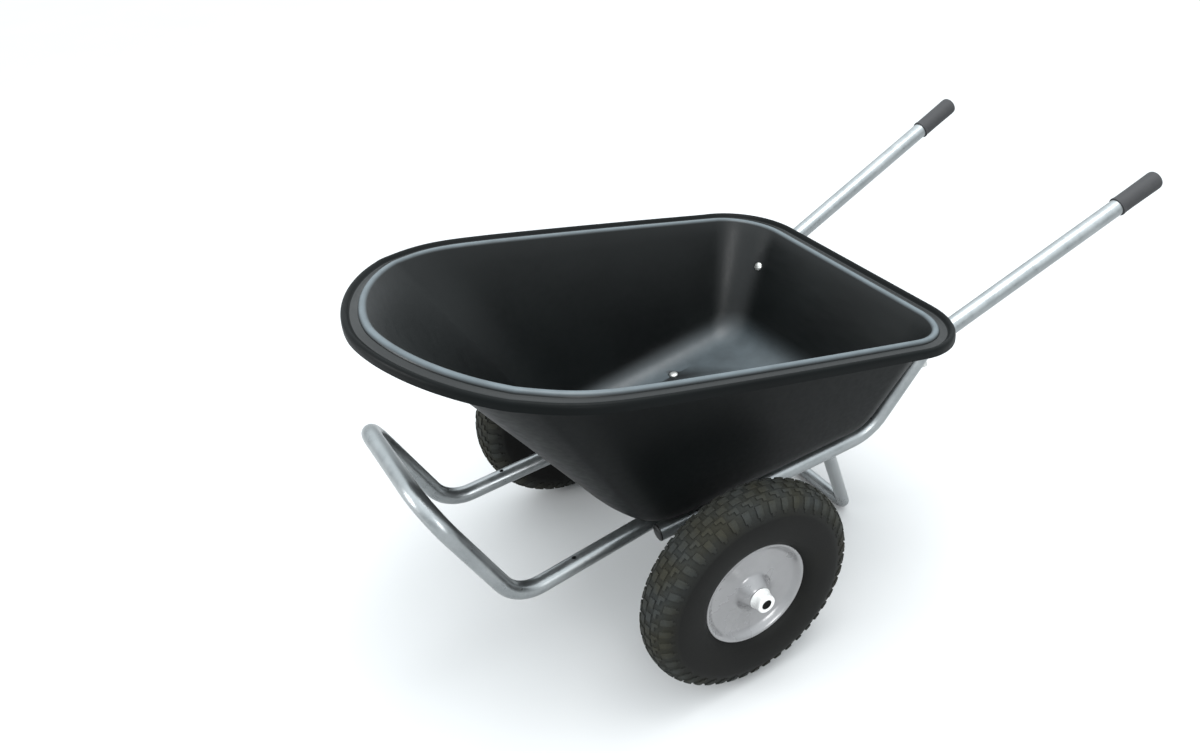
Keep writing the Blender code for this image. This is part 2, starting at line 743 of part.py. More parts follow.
def make_wheel(side_name, side):
    """One wheel, built about an empty on its axle line."""
    centre = empty_at("wheel_axis_" + side_name, (WHEEL_X * side, 0, AXLE_Z), AXLE_LINE)
    facing = (side, 0, 0)

    def add(piece, direction=facing):
        aim(piece, (0, 0, 0), direction)
        return piece

    inward = (-side, 0, 0)
    add(turned("tyre_" + side_name, tyre_profile(), "tyre", ROUND_STEPS, parent=centre))
    barrel = add(sheet("rim_barrel_" + side_name, barrel_profile(), "rim", 2 * MM, centre))
    add(sheet("disc_outer_" + side_name, disc_profile(), "rim", 2 * MM, centre))
    inner = add(sheet("disc_inner_" + side_name, disc_profile(), "rim", 2 * MM, centre), inward)
    hub = [(HUB_BORE, HUB_INNER), (HUB_R, HUB_INNER), (HUB_R, HUB_OUTER - 3 * MM),
           (HUB_BORE, HUB_OUTER - 3 * MM)]
    add(turned("hub_" + side_name, hub, "hub", 20, parent=centre))
    for place, start in (("inner", HUB_INNER + 1 * MM), ("outer", HUB_OUTER - 33 * MM)):
        end = start + BUSH_LENGTH
        bush = [(BUSH_BORE, start), (HUB_BORE - GAP, start), (HUB_BORE - GAP, end),
                (BUSH_BORE, end)]
        add(turned(f"bush_{place}_{side_name}", bush, "bush", parent=centre))
    base = HUB_OUTER - 3 * MM + GAP
    cap = [(CAP_BORE, base - 3.5 * MM), (HUB_BORE - GAP, base - 3.5 * MM),
           (HUB_BORE - GAP, base), (HUB_R, base), (HUB_R, HUB_OUTER - 1 * MM),
           (HUB_R - 1 * MM, HUB_OUTER), (CAP_BORE, HUB_OUTER)]
    add(turned("hub_cap_" + side_name, cap, "hub", 20, parent=centre))
    stop = HUB_OUTER - 1.5 * MM
    stub_r = CAP_BORE - 0.4 * MM
    stub = [(0, stop - 3 * MM), (stub_r, stop - 3 * MM), (stub_r, stop), (0, stop)]
    add(turned("hub_plug_" + side_name, stub, "plug", closed=False, parent=centre))
    add_valve(side_name, side, centre, barrel, inner)


def add_valve(side_name, side, centre, barrel, disc):
    """A rubber valve stem that leans out of the rim's well through the inner disc."""
    lean = Vector((-side, 0, -0.62)).normalized()
    foot = Vector((-11.5 * MM * side, 0, 87.0 * MM))
    profile = [(0, 0), (4.6 * MM, 0), (4.6 * MM, 18 * MM), (3.6 * MM, 21 * MM),
               (3.6 * MM, 36 * MM), (0, 37 * MM)]
    stem = turned("valve_stem_" + side_name, profile, "plug", 12, closed=False, parent=centre)
    aim(stem, foot, lean)
    for piece in (barrel, disc):
        cutter = drill(piece, foot + lean * 10 * MM, lean, 5.6 * MM, 34 * MM)
        cutter.parent = centre


make_frame()
make_axle()
for wheel_name, wheel_side in SIDES:
    make_wheel(wheel_name, wheel_side)
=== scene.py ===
"""The looks of a two-wheeled poly wheelbarrow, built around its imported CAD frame.

Metres, +Z up. The nose of the tray points to -Y and the handles to +Y. Left is the +X side.
Places along Y are counted from the wheel axle, whose place the frame's joints give.
"""

import json
import math

import bmesh
import bpy
from mathutils import Matrix, Vector


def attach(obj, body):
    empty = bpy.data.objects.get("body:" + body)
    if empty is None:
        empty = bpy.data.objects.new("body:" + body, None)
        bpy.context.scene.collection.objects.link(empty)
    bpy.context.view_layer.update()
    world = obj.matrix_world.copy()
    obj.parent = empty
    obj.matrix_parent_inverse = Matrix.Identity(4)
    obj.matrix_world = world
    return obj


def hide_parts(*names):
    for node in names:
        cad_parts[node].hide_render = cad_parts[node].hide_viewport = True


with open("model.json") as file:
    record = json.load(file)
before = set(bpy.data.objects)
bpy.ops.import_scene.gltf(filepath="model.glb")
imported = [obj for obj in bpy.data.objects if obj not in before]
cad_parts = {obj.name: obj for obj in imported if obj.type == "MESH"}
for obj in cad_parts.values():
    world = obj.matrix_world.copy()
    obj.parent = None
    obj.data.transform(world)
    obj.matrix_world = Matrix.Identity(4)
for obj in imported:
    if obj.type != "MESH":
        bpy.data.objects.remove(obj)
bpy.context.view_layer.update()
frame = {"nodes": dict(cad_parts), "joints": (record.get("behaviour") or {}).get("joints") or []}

MM = 0.001
SIDES = (("left", 1), ("right", -1))
SHARP_DEGREES = 35

# The axle's place, from the left wheel's joint
WHEEL_X, AXLE_Y, AXLE_Z = frame["joints"][0]["pos_m"]
AXLE_LINE = Vector((0, AXLE_Y, 0))

# Deck: the sloping plane that holds the centre lines of the rails and of the hoop's legs
DECK_Z = 253.5 * MM
DECK_RISE = 0.079
DECK_PITCH = math.atan(DECK_RISE)

# Tubes
TUBE_R = 16 * MM
TUBE_WALL = 2 * MM
STAND_R = 12.7 * MM
RAIL_FRONT = (175.5 * MM, -75 * MM)
RAIL_REAR = (202.7 * MM, 377.5 * MM)
HANDLE_BEND = Vector((226 * MM, 489 * MM, 449 * MM))
HANDLE_END = Vector((266 * MM, 997 * MM, 630.5 * MM))
RAIL_BEND_R = 85 * MM
HANDLE_BEND_R = 90 * MM
HOOP_REAR = (128 * MM, 200 * MM)
HOOP_CORNER = (152 * MM, -346 * MM)
HOOP_TOP = Vector((151 * MM, -459 * MM, 471 * MM))
HOOP_BEND_R = (70 * MM, 72 * MM, 72 * MM, 70 * MM)
HOOP_HOLE_Y = -229 * MM
STAND_TOP_Y = 285 * MM
STAND_FOOT = Vector((100 * MM, 419 * MM, STAND_R))
STAND_FOOT_R = 24 * MM
WELD_R = 2.3 * MM
WELD_RIPPLE = 0.35 * MM
WELD_STEPS = 96

# Grips: the bore, and the outside from its open end on, as (radius, place past the tube) in mm
GRIP_BORE = 16.3
GRIP_OUTSIDE = [(18.3, -92.7), (18.7, -91.2), (18.5, -88.7), (17.8, -84.7), (17.7, -64.89),
                (17.9, -37.08), (18.2, -12), (18.2, -3), (17.4, 1.5), (15.3, 3.9), (12.2, 4.8)]

# Tray
TRAY_WALL = 4.5 * MM
STRAP_THICK = 5 * MM
TRAY_FLOOR_H = TUBE_R + STRAP_THICK + 0.6 * MM + TRAY_WALL
TRAY_FILLET = 52 * MM
RIM_Z = 620 * MM
RIM_FALL = -0.23
FLOOR_PLAN = {"rear_half": 225.5 * MM, "front_half": 207.5 * MM, "front_y": -39 * MM,
              "nose_y": -124.5 * MM, "rear_y": 366.5 * MM, "corner_r": 56.5 * MM, "power": 2.4,
              "bulge": 0.0}
RIM_PLAN = {"rear_half": 306 * MM, "front_half": 291 * MM, "front_y": -197 * MM,
            "nose_y": -438 * MM, "rear_y": 479 * MM, "corner_r": 98 * MM, "power": 1.75,
            "bulge": 3 * MM}
FLAT_CORNER_R = 12 * MM
CREST_R = 8 * MM
CREST_END = 15
# The rim outside its crest, as (outward, up) from the crest in mm
RIM_LEDGE = [(13, -6.6), (20.5, -7.2), (24.8, -2.9), (28.5, -0.9), (32.6, -2.9), (34.5, -8),
             (35, -17)]

# Bolts
FLOOR_BOLT = (168 * MM, 183 * MM)
WALL_BOLT_Z = 439 * MM
WALL_BOLT_SHARE = 0.8
SEAT_SINK = 0.6 * MM
SEAT_R = 9.6 * MM
SEAT_DEPTH = 10 * MM
BOLT_HOLE_R = 4.6 * MM
HEAD_GAP = 0.3 * MM
HANGER_BOLTS = {"front": -20 * MM, "rear": 26 * MM}

# Camera, solved from the photograph; the place is counted from the axle line
VIEW_AZIMUTH = math.radians(61.63)
VIEW_ELEVATION = math.radians(35.80)
VIEW_ROLL = math.radians(-5.10)
VIEW_PLACE = Vector((1.3854, -0.7450, 1.5015))
IMAGE_SIZE = (1200, 753)
FOCAL_PIXELS = 1054.5
SENSOR_WIDTH = 36.0
PRINCIPAL = (640.1, 415.3)


# ---- scene objects

def add_object(name, data):
    """Link a mesh, light or camera to the scene."""
    item = bpy.data.objects.new(name, data)
    bpy.context.scene.collection.objects.link(item)
    return item


def finished(mesh, name, finish, *nodes, body="frame", side=""):
    """Make a mesh a named piece that stands for CAD nodes and will ride on a body."""
    name, *nodes = [f"{word}_{side}" if side else word for word in (name, *nodes)]
    mesh.name = name
    mesh.materials.append(FINISHES[finish])
    piece = add_object(name, mesh)
    piece.location = AXLE_LINE
    if nodes:
        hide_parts(*nodes)
    piece["rides"] = body
    return piece


def settle(piece):
    """Ride on the body that the piece was made for, once it is in its place."""
    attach(piece, piece["rides"])
    del piece["rides"]


def facing(direction):
    """The turn that points +Z along a direction."""
    return Vector(direction).to_track_quat("Z", "Y").to_matrix().to_4x4()


def aim(piece, place, direction):
    """Put a piece at a place counted from the axle line, its own +Z along a direction."""
    piece.matrix_world = Matrix.Translation(AXLE_LINE + Vector(place)) @ facing(direction)


def install(piece, place, direction):
    """Aim a piece and let it ride on its body."""
    aim(piece, place, direction)
    settle(piece)


def mesh_from(work, sharp_degrees=SHARP_DEGREES):
    """Turn a bmesh into a smooth mesh with its sharp corners kept."""
    mesh = bpy.data.meshes.new("piece")
    work.to_mesh(mesh)
    work.free()
    shade(mesh, sharp_degrees)
    return mesh


def mesh_of(work, sharp_degrees=SHARP_DEGREES):
    """The same, with the faces turned outwards first."""
    bmesh.ops.recalc_face_normals(work, faces=work.faces)
    return mesh_from(work, sharp_degrees)


def shade(mesh, sharp_degrees=SHARP_DEGREES):
    """Smooth-shade a mesh, keeping its sharp corners sharp."""
    mesh.polygons.foreach_set("use_smooth", [True] * len(mesh.polygons))
    mesh.set_sharp_from_angle(angle=math.radians(sharp_degrees))


def bevel(piece, width, segments=2, degrees=40):
    """Round the sharp edges of a piece a little."""
    edge = piece.modifiers.new("edges", "BEVEL")
    edge.width = width
    edge.segments = segments
    edge.limit_method = "ANGLE"
    edge.angle_limit = math.radians(degrees)
    edge.harden_normals = True


# ---- lines

def deck(x, y, height=0.0):
    """A point above the deck plane: y runs along the slope and height stands square to it."""
    along = Vector((0, math.cos(DECK_PITCH), math.sin(DECK_PITCH)))
    square = Vector((0, -math.sin(DECK_PITCH), math.cos(DECK_PITCH)))
    return Vector((x, 0, DECK_Z)) + along * y + square * height


def mirrored(point, side):
    """The point, on the side asked for."""
    return Vector((point[0] * side, point[1], point[2]))


def symmetric(half):
    """Corners of a line that goes on as its own mirror image."""
    return half + [mirrored(corner, -1) for corner in reversed(half)]


def in_mm(points):
    """Points given in millimetres, in metres."""
    return [tuple(value * MM for value in point) for point in points]


def around(steps):
    """Evenly spaced angles of a full turn."""
    return [2 * math.pi * k / steps for k in range(steps)]


def bent(corners, radii, step=math.radians(4)):
    """Centre line through the corners, with each inner corner rounded to its radius."""
    line = [corners[0]]
    for before, corner, after, radius in zip(corners, corners[1:], corners[2:], radii):
        back = (before - corner).normalized()
        ahead = (after - corner).normalized()
        turn = math.pi - back.angle(ahead)
        reach = radius * math.tan(turn / 2)
        centre = corner + (back + ahead).normalized() * radius / math.cos(turn / 2)
        start = corner + back * reach - centre
        axis = back.cross(ahead).normalized()
        steps = max(2, round(turn / step))
        for k in range(steps + 1):
            line.append(centre + Matrix.Rotation(-turn * k / steps, 3, axis) @ start)
    line.append(corners[-1])
    return line


def filled_in(line, spacing):
    """The same line with points added, so that no two are further apart than spacing."""
    dense = [line[0]]
    for start, end in zip(line, line[1:]):
        count = max(1, math.ceil((end - start).length / spacing))
        dense += [start.lerp(end, (k + 1) / count) for k in range(count)]
    return dense


def curve_through(points, steps):
    """A smooth line through points of any size, with steps between each two."""
    line = []
    padded = [points[0]] + list(points) + [points[-1]]
    for a, b, c, d in zip(padded, padded[1:], padded[2:], padded[3:]):
        for k in range(steps):
            t = k / steps
            line.append(tuple(
                0.5 * (2 * q + (r - p) * t + (2 * p - 5 * q + 4 * r - s) * t * t
                       + (3 * q - p - 3 * r + s) * t ** 3)
                for p, q, r, s in zip(a, b, c, d)))
    line.append(tuple(points[-1]))
    return line


# ---- meshes

def join(work, low, high):
    """Faces between two closed rings of vertices."""
    for k in range(len(low)):
        n = (k + 1) % len(low)
        work.faces.new((low[k], low[n], high[n], high[k]))


def sleeve(bore, outer, edge, start, end):
    """Profile of a sleeve with chamfered ends, or of a bar if it has no bore."""
    return [(bore, start), (outer - edge, start), (outer, start + edge),
            (outer, end - edge), (outer - edge, end), (bore, end)]


def turned(profile, steps=64, closed=True, sharp_degrees=SHARP_DEGREES):
    """A turned mesh: a profile of (radius, height) points spun about Z."""
    work = bmesh.new()
    rings = []
    for radius, height in profile:
        if radius < 1e-7:
            rings.append([work.verts.new((0, 0, height))] * steps)
            continue
        rings.append([work.verts.new((radius * math.cos(a), radius * math.sin(a), height))
                      for a in around(steps)])
    pairs = list(zip(rings, rings[1:]))
    if closed:
        pairs.append((rings[-1], rings[0]))
    for low, high in pairs:
        for k in range(steps):
            n = (k + 1) % steps
            corners = []
            for vert in (low[k], low[n], high[n], high[k]):
                if vert not in corners:
                    corners.append(vert)
            if len(corners) > 2:
                work.faces.new(corners)
    return mesh_of(work, sharp_degrees)


def swept(line, radius, wall=TUBE_WALL, sides=40):
    """A hollow tube with open ends along a line, with its length and girth as UV in metres."""
    line = filled_in(line, 25 * MM)
    tangents = [(b - a).normalized() for a, b in zip(line, line[1:])]
    tangents.append(tangents[-1])
    across = tangents[0].orthogonal().normalized()
    work = bmesh.new()
    uv = work.loops.layers.uv.new("girth_and_length")
    rings = []
    lengths = []
    travelled = 0.0
    for k, point in enumerate(line):
        tangent = tangents[k]
        if 0 < k < len(line) - 1:
            tangent = (tangents[k - 1] + tangents[k]).normalized()
        across = (across - tangent * across.dot(tangent)).normalized()
        up = tangent.cross(across)
        if k:
            travelled += (point - line[k - 1]).length
        lengths.append(travelled)
        rings.append([work.verts.new(point + (across * math.cos(a) + up * math.sin(a)) * size)
                      for size in (radius, radius - wall) for a in around(sides)])
    for k, (low, high) in enumerate(zip(rings, rings[1:])):
        for j in range(sides):
            n = (j + 1) % sides
            outer = work.faces.new((low[j], low[n], high[n], high[j]))
            work.faces.new((low[sides + n], low[sides + j], high[sides + j], high[sides + n]))
            spans = ((j, k), (j + 1, k), (j + 1, k + 1), (j, k + 1))
            for loop, (turn, row) in zip(outer.loops, spans):
                girth = 2 * math.pi * radius * turn / sides
                loop[uv].uv = (girth, lengths[row])
    for ring in (rings[0], rings[-1]):
        join(work, ring[:sides], ring[sides:])
    return mesh_of(work)


def cut(piece, cutter_mesh, matrix):
    """Cut a closed mesh, placed by a matrix counted from the axle line, out of a piece."""
    cutter = add_object("cutter", cutter_mesh)
    cutter.matrix_world = Matrix.Translation(AXLE_LINE) @ matrix
    hole = piece.modifiers.new("hole", "BOOLEAN")
    hole.operation = "DIFFERENCE"
    hole.solver = "EXACT"
    hole.object = cutter
    graph = bpy.context.evaluated_depsgraph_get()
    shaped = bpy.data.meshes.new_from_object(piece.evaluated_get(graph))
    piece.modifiers.clear()
    piece.data = shaped
    bpy.data.objects.remove(cutter, do_unlink=True)


def drill(piece, place, direction, radius, length):
    """Cut a round hole through a piece, centred on a place counted from the axle line."""
    profile = [(0, -length / 2), (radius, -length / 2), (radius, length / 2), (0, length / 2)]
    matrix = Matrix.Translation(place) @ facing(direction)
    cut(piece, turned(profile, 24, closed=False), matrix)


# ---- materials

class Finish:
    """A Principled material that is put together node by node."""

    def __init__(self, name, **settings):
        self.material = bpy.data.materials.new(name)
        self.material.use_nodes = True
        self.tree = self.material.node_tree
        self.shader = self.tree.nodes["Principled BSDF"]
        for socket, value in settings.items():
            self.shader.inputs[socket.replace("_", " ")].default_value = value

    def node(self, kind, inputs=(), **settings):
        """Add a node; inputs maps its sockets to values or to other nodes' outputs."""
        made = self.tree.nodes.new(kind)
        for key, value in settings.items():
            setattr(made, key, value)
        for socket, value in dict(inputs).items():
            if isinstance(value, bpy.types.NodeSocket):
                self.tree.links.new(value, made.inputs[socket])
            else:
                made.inputs[socket].default_value = value
        return made

    def place(self, stretch=(1, 1, 1)):
        """Object coordinates in metres, stretched."""
        coordinates = self.node("ShaderNodeTexCoord").outputs["Object"]
        return self.node("ShaderNodeMapping", {"Vector": coordinates, "Scale": stretch}
                         ).outputs["Vector"]

    def noise(self, vector, scale, detail=4.0, roughness=0.55):
        """Noise between 0 and 1."""
        return self.node("ShaderNodeTexNoise",
                         {"Vector": vector, "Scale": scale, "Detail": detail,
                          "Roughness": roughness}).outputs["Fac"]

    def ramp(self, value, low, high, start=0.0, end=1.0):
        """Map low..high of a value to start..end, and hold it there."""
        return self.node("ShaderNodeMapRange",
                         {"Value": value, "From Min": low, "From Max": high,
                          "To Min": start, "To Max": end}).outputs["Result"]

    def blend(self, share, first, second, mode="MIX"):
        """Mix two colours, each a socket or an (r, g, b)."""
        colours = [c if isinstance(c, bpy.types.NodeSocket) else (*c, 1.0)
                   for c in (first, second)]
        mixed = self.node("ShaderNodeMix", {0: share, 6: colours[0], 7: colours[1]},
                          data_type="RGBA", blend_type=mode)
        return mixed.outputs[2]

    def maths(self, operation, first, second=0.0):
        """One step of arithmetic."""
        return self.node("ShaderNodeMath", {0: first, 1: second}, operation=operation).outputs[0]

    def link(self, socket, value):
        """Feed one of the shader's sockets."""
        self.tree.links.new(value, self.shader.inputs[socket])

    def relief(self, *layers):
        """Feed the shader's normal from (height, distance, strength) bumps, lowest first."""
        below = {}
        for height, distance, strength in layers:
            bump = self.node("ShaderNodeBump", {"Height": height, "Distance": distance,
                                                "Strength": strength, **below})
            below = {"Normal": bump.outputs["Normal"]}
        self.link("Normal", below["Normal"])
        return self.material


def poly_finish(name, gloss, rough_low, rough_high):
    """Black polyethylene with fine grain and faint flow marks, a lighter blue-grey where it faces
    up: dust and painted light on the floor, a painted highlight along the rim's crest.
    """
    paint = Finish(name, IOR=1.36, Specular_IOR_Level=gloss)
    place = paint.place()
    broad = paint.noise(place, 3.2, 3)
    marks = paint.noise(paint.place((1.0, 7.0, 7.0)), 16.0, 5)
    grain = paint.noise(place, 900.0, 2)
    base = paint.blend(paint.ramp(broad, 0.3, 0.7), (0.0013, 0.0017, 0.0018),
                       (0.0026, 0.0036, 0.0037))
    normal = paint.node("ShaderNodeSeparateXYZ",
                        {0: paint.node("ShaderNodeNewGeometry").outputs["Normal"]}).outputs["Z"]
    dust_and_painted_light = paint.node("ShaderNodeAttribute", attribute_name="dust_and_painted_light").outputs["Fac"]
    # Up-facing rows take a lighter blue-grey: dust and painted light on the floor, a painted
    # highlight along the rim's crest
    flat = paint.maths("MULTIPLY", dust_and_painted_light, paint.ramp(normal, 0.35, 0.95))
    cloud = paint.noise(place, 24.0, 5)
    dusty = paint.maths("MULTIPLY", flat, paint.ramp(cloud, 0.3, 0.7, 0.72, 1.0))
    # This blue-grey is the colour of the dust and of the painted light and highlight
    paint.link("Base Color", paint.blend(dusty, base, (0.104, 0.128, 0.142)))
    rough = paint.ramp(marks, 0.3, 0.8, rough_low, rough_high)
    paint.link("Roughness", paint.maths("ADD", rough, paint.ramp(broad, 0.3, 0.7, -0.03, 0.03)))
    return paint.relief((broad, 1.2 * MM, 0.3), (grain, 0.05 * MM, 0.4))


def galvanised_finish(name, along_tube):
    """Zinc on steel: faint cloudy spangle, fine drawing lines along a tube, dull patches."""
    paint = Finish(name, Metallic=0.88)
    place = paint.place()
    spangle = paint.node("ShaderNodeTexVoronoi", {"Vector": place, "Scale": 150.0}
                         ).outputs["Color"]
    flake = paint.node("ShaderNodeSeparateXYZ", {0: spangle}).outputs["X"]
    cloud = paint.noise(place, 20.0, 5, 0.6)
    lines = cloud
    if along_tube:
        girth = paint.node("ShaderNodeUVMap", uv_map="girth_and_length").outputs["UV"]
        drawn = paint.node("ShaderNodeMapping", {"Vector": girth, "Scale": (900.0, 12.0, 1.0)})
        lines = paint.noise(drawn.outputs["Vector"], 1.0, 3)
    shade_of = paint.blend(paint.ramp(cloud, 0.32, 0.7), (0.222, 0.238, 0.243),
                           (0.292, 0.307, 0.312))
    flakes = paint.ramp(flake, 0.0, 1.0, 0.0, 0.12)
    shade_of = paint.blend(flakes, shade_of, (0.42, 0.44, 0.45))
    streaks = paint.ramp(lines, 0.35, 0.7, 0.0, 0.16)
    paint.link("Base Color", paint.blend(streaks, shade_of, (0.17, 0.18, 0.185)))
    rough = paint.ramp(cloud, 0.3, 0.72, 0.27, 0.39)
    paint.link("Roughness", paint.maths("ADD", rough, paint.ramp(flake, 0, 1, -0.03, 0.03)))
    return paint.relief((lines, 0.03 * MM, 0.4), (cloud, 0.2 * MM, 0.15))


def rim_finish():
    """Silver-grey wheel paint: soft mottling and small chips."""
    paint = Finish("silver_wheel_paint", Metallic=0.25, Coat_Weight=0.9, Coat_Roughness=0.14)
    place = paint.place()
    cloud = paint.noise(place, 18.0, 5)
    speck = paint.noise(place, 420.0, 3)
    base = paint.blend(paint.ramp(cloud, 0.3, 0.7), (0.160, 0.158, 0.161), (0.192, 0.190, 0.193))
    chips = paint.ramp(paint.noise(place, 95.0, 3), 0.74, 0.8)
    paint.link("Base Color", paint.blend(paint.maths("MULTIPLY", chips, 0.12), base,
                                         (0.16, 0.15, 0.14)))
    paint.link("Roughness", paint.ramp(cloud, 0.3, 0.75, 0.24, 0.34))
    return paint.relief((cloud, 0.4 * MM, 0.1), (speck, 0.03 * MM, 0.3))


def zinc_finish(name, tint, rough_low, rough_high, metallic):
    """Bright zinc plate with a turned grain and dull spots."""
    paint = Finish(name, Metallic=metallic)
    place = paint.place()
    cloud = paint.noise(place, 110.0, 4)
    turned_lines = paint.noise(paint.place((40.0, 40.0, 900.0)), 1.0, 3)
    darker = tuple(0.72 * c for c in tint)
    paint.link("Base Color", paint.blend(paint.ramp(cloud, 0.35, 0.75), tint, darker))
    paint.link("Roughness", paint.ramp(cloud, 0.3, 0.75, rough_low, rough_high))
    return paint.relief((turned_lines, 0.02 * MM, 0.5))


def tyre_finish():
    """Black rubber: dusty olive-brown tread, its grooves kept darker as painted shade, and a
    plain sidewall.
    """
    paint = Finish("tyre_rubber", IOR=1.22)
    place = paint.place()
    height = paint.node("ShaderNodeAttribute", attribute_name="tread").outputs["Fac"]
    cloud = paint.noise(place, 14.0, 5, 0.6)
    fine = paint.noise(place, 340.0, 4)
    axes = paint.node("ShaderNodeSeparateXYZ", {0: place})
    squares = [paint.maths("POWER", axes.outputs[axis], 2.0) for axis in "XY"]
    radius = paint.maths("SQRT", paint.maths("ADD", *squares))
    on_tread = paint.ramp(radius, 162 * MM, 186 * MM)
    rubber = paint.blend(paint.ramp(fine, 0.3, 0.7), (0.0022, 0.0022, 0.0021),
                         (0.0040, 0.0040, 0.0034))
    dust = paint.blend(paint.ramp(cloud, 0.35, 0.65), (0.0290, 0.0318, 0.0310),
                       (0.0270, 0.0262, 0.0190))
    # Groove floors take less dust colour than the block tops: painted shade in the grooves, with
    # dust on the tread
    dust_and_painted_light = paint.maths("MULTIPLY", paint.ramp(height, 0.0, 1.0, 0.7, 0.95),
                       paint.ramp(fine, 0.2, 0.7, 0.7, 1.0))
    share = paint.maths("MULTIPLY", dust_and_painted_light, on_tread)
    patches = paint.ramp(cloud, 0.45, 0.75, 0.0, 0.06)
    share = paint.maths("MAXIMUM", share, patches)
    paint.link("Base Color", paint.blend(share, rubber, dust))
    paint.link("Roughness", paint.ramp(share, 0.0, 0.6, 0.58, 0.88))
    return paint.relief((fine, 0.12 * MM, 0.5), (cloud, 0.5 * MM, 0.3))


def grip_finish():
    """Matt dark grey rubber with a fine grain and an uneven tone."""
    paint = Finish("grip_rubber", IOR=1.45)
    place = paint.place()
    cloud = paint.noise(place, 60.0, 4)
    fine = paint.noise(place, 1300.0, 3)
    paint.link("Base Color", paint.blend(paint.ramp(cloud, 0.35, 0.7), (0.016, 0.016, 0.018),
                                         (0.027, 0.027, 0.028)))
    paint.link("Roughness", paint.ramp(cloud, 0.3, 0.7, 0.62, 0.78))
    return paint.relief((fine, 0.1 * MM, 0.6), (cloud, 0.3 * MM, 0.3))


def plain_finish(name, low, high, rough_low, rough_high, grain=700.0, gloss=0.5):
    """A moulded or painted surface: two shades, fine grain and uneven gloss."""
    paint = Finish(name, Specular_IOR_Level=gloss)
    place = paint.place()
    cloud = paint.noise(place, 45.0, 4)
    paint.link("Base Color", paint.blend(paint.ramp(cloud, 0.3, 0.7), low, high))
    paint.link("Roughness", paint.ramp(cloud, 0.3, 0.75, rough_low, rough_high))
    return paint.relief((paint.noise(place, grain, 3), 0.06 * MM, 0.5))


FINISHES = {
    "poly": poly_finish("satin_polyethylene", 0.52, 0.33, 0.43),
    "poly_outside": poly_finish("dull_polyethylene", 0.13, 0.42, 0.52),
    "tube": galvanised_finish("galvanised_tube", True),
    "galvanised": galvanised_finish("galvanised_plate", False),
    "rim": rim_finish(),
    "hub": zinc_finish("hub_zinc", (0.76, 0.76, 0.745), 0.26, 0.4, 0.3),
    "fastener": zinc_finish("fastener_zinc", (0.62, 0.62, 0.60), 0.24, 0.4, 0.8),
    "tyre": tyre_finish(),
    "grip": grip_finish(),
    "black_plastic": plain_finish("black_plastic", (0.005, 0.005, 0.005),
                                  (0.010, 0.010, 0.010), 0.4, 0.55, gloss=0.3),
    # Near-zero, unreflecting black for the hub's stopper: black plastic, made darker as painted
    # shade of the hub's bore
    "stopper_and_hole_shade": plain_finish("black_plastic_and_hole_shade", (0.0006, 0.0006, 0.0006),
                            (0.0012, 0.0012, 0.0012), 0.75, 0.85, gloss=0.12),
    "black_steel": plain_finish("black_painted_steel", (0.009, 0.009, 0.0095),
                                (0.02, 0.02, 0.021), 0.32, 0.5, 260.0),
    "bush": plain_finish("nylon_bush", (0.62, 0.60, 0.54), (0.72, 0.70, 0.65), 0.4, 0.55),
}


# ---- tray

NOSE_STEPS = 44
SIDE_STEPS = 36
CORNER_STEPS = 16
REAR_STEPS = 8
FILLET_STEPS = 9
WALL_STEPS = 8
CREST_STEPS = 12
# Shares of the lighter blue-grey: dust and painted light on the floor, a painted highlight on the
# rim's crest
FLOOR_DUST_AND_LIGHT = 0.48
CREST_HIGHLIGHT = 0.8
DULL_ROW = FILLET_STEPS + WALL_STEPS + CREST_STEPS + 8
BLEND_COLUMNS = range(NOSE_STEPS - 15, NOSE_STEPS + 6)
BLEND_ROUNDS = 60


def corner_arc(before, corner, after, radius, steps):
    """Round one corner of a flat outline; both tangent points are included."""
    back = (before - corner).normalized()
    ahead = (after - corner).normalized()
    half = back.angle(ahead) / 2
    centre = corner + (back + ahead).normalized() * radius / math.sin(half)
    start = corner + back * radius / math.tan(half) - centre
    sweep = math.pi - 2 * half
    turn = 1 if back.x * ahead.y - back.y * ahead.x < 0 else -1
    return [centre + Matrix.Rotation(turn * sweep * k / steps, 2) @ start
            for k in range(steps + 1)]


def half_outline(plan):
    """The x >= 0 half of a D-shaped outline, from the nose to the middle of the rear."""
    front = Vector((plan["front_half"], plan["front_y"]))
    corner = Vector((plan["rear_half"], plan["rear_y"]))
    middle = Vector((0, plan["rear_y"]))
    depth = plan["front_y"] - plan["nose_y"]
    outline = []
    for k in range(NOSE_STEPS):
        angle = math.pi / 2 * k / NOSE_STEPS
        across = plan["front_half"] * math.sin(angle) ** (2 / plan["power"])
        ahead = depth * math.cos(angle) ** (2 / plan["power"])
        outline.append(Vector((across, plan["front_y"] - ahead)))
    arc = corner_arc(front, corner, middle, plan["corner_r"], CORNER_STEPS)
    for k in range(SIDE_STEPS):
        share = k / SIDE_STEPS
        point = front.lerp(arc[0], share)
        point.x += plan["bulge"] * math.sin(math.pi * share)
        outline.append(point)
    outline += arc
    outline += [arc[-1].lerp(middle, (k + 1) / REAR_STEPS) for k in range(REAR_STEPS)]
    for _ in range(BLEND_ROUNDS):
        relaxed = list(outline)
        for k in BLEND_COLUMNS:
            relaxed[k] = outline[k] * 0.5 + (outline[k - 1] + outline[k + 1]) * 0.25
        outline = relaxed
    return outline


def inset_plan(plan, inset):
    """The plan of the same D shape, smaller all round."""
    return {**plan, "rear_half": plan["rear_half"] - inset,
            "front_half": plan["front_half"] - inset, "nose_y": plan["nose_y"] + inset,
            "rear_y": plan["rear_y"] - inset, "corner_r": FLAT_CORNER_R}


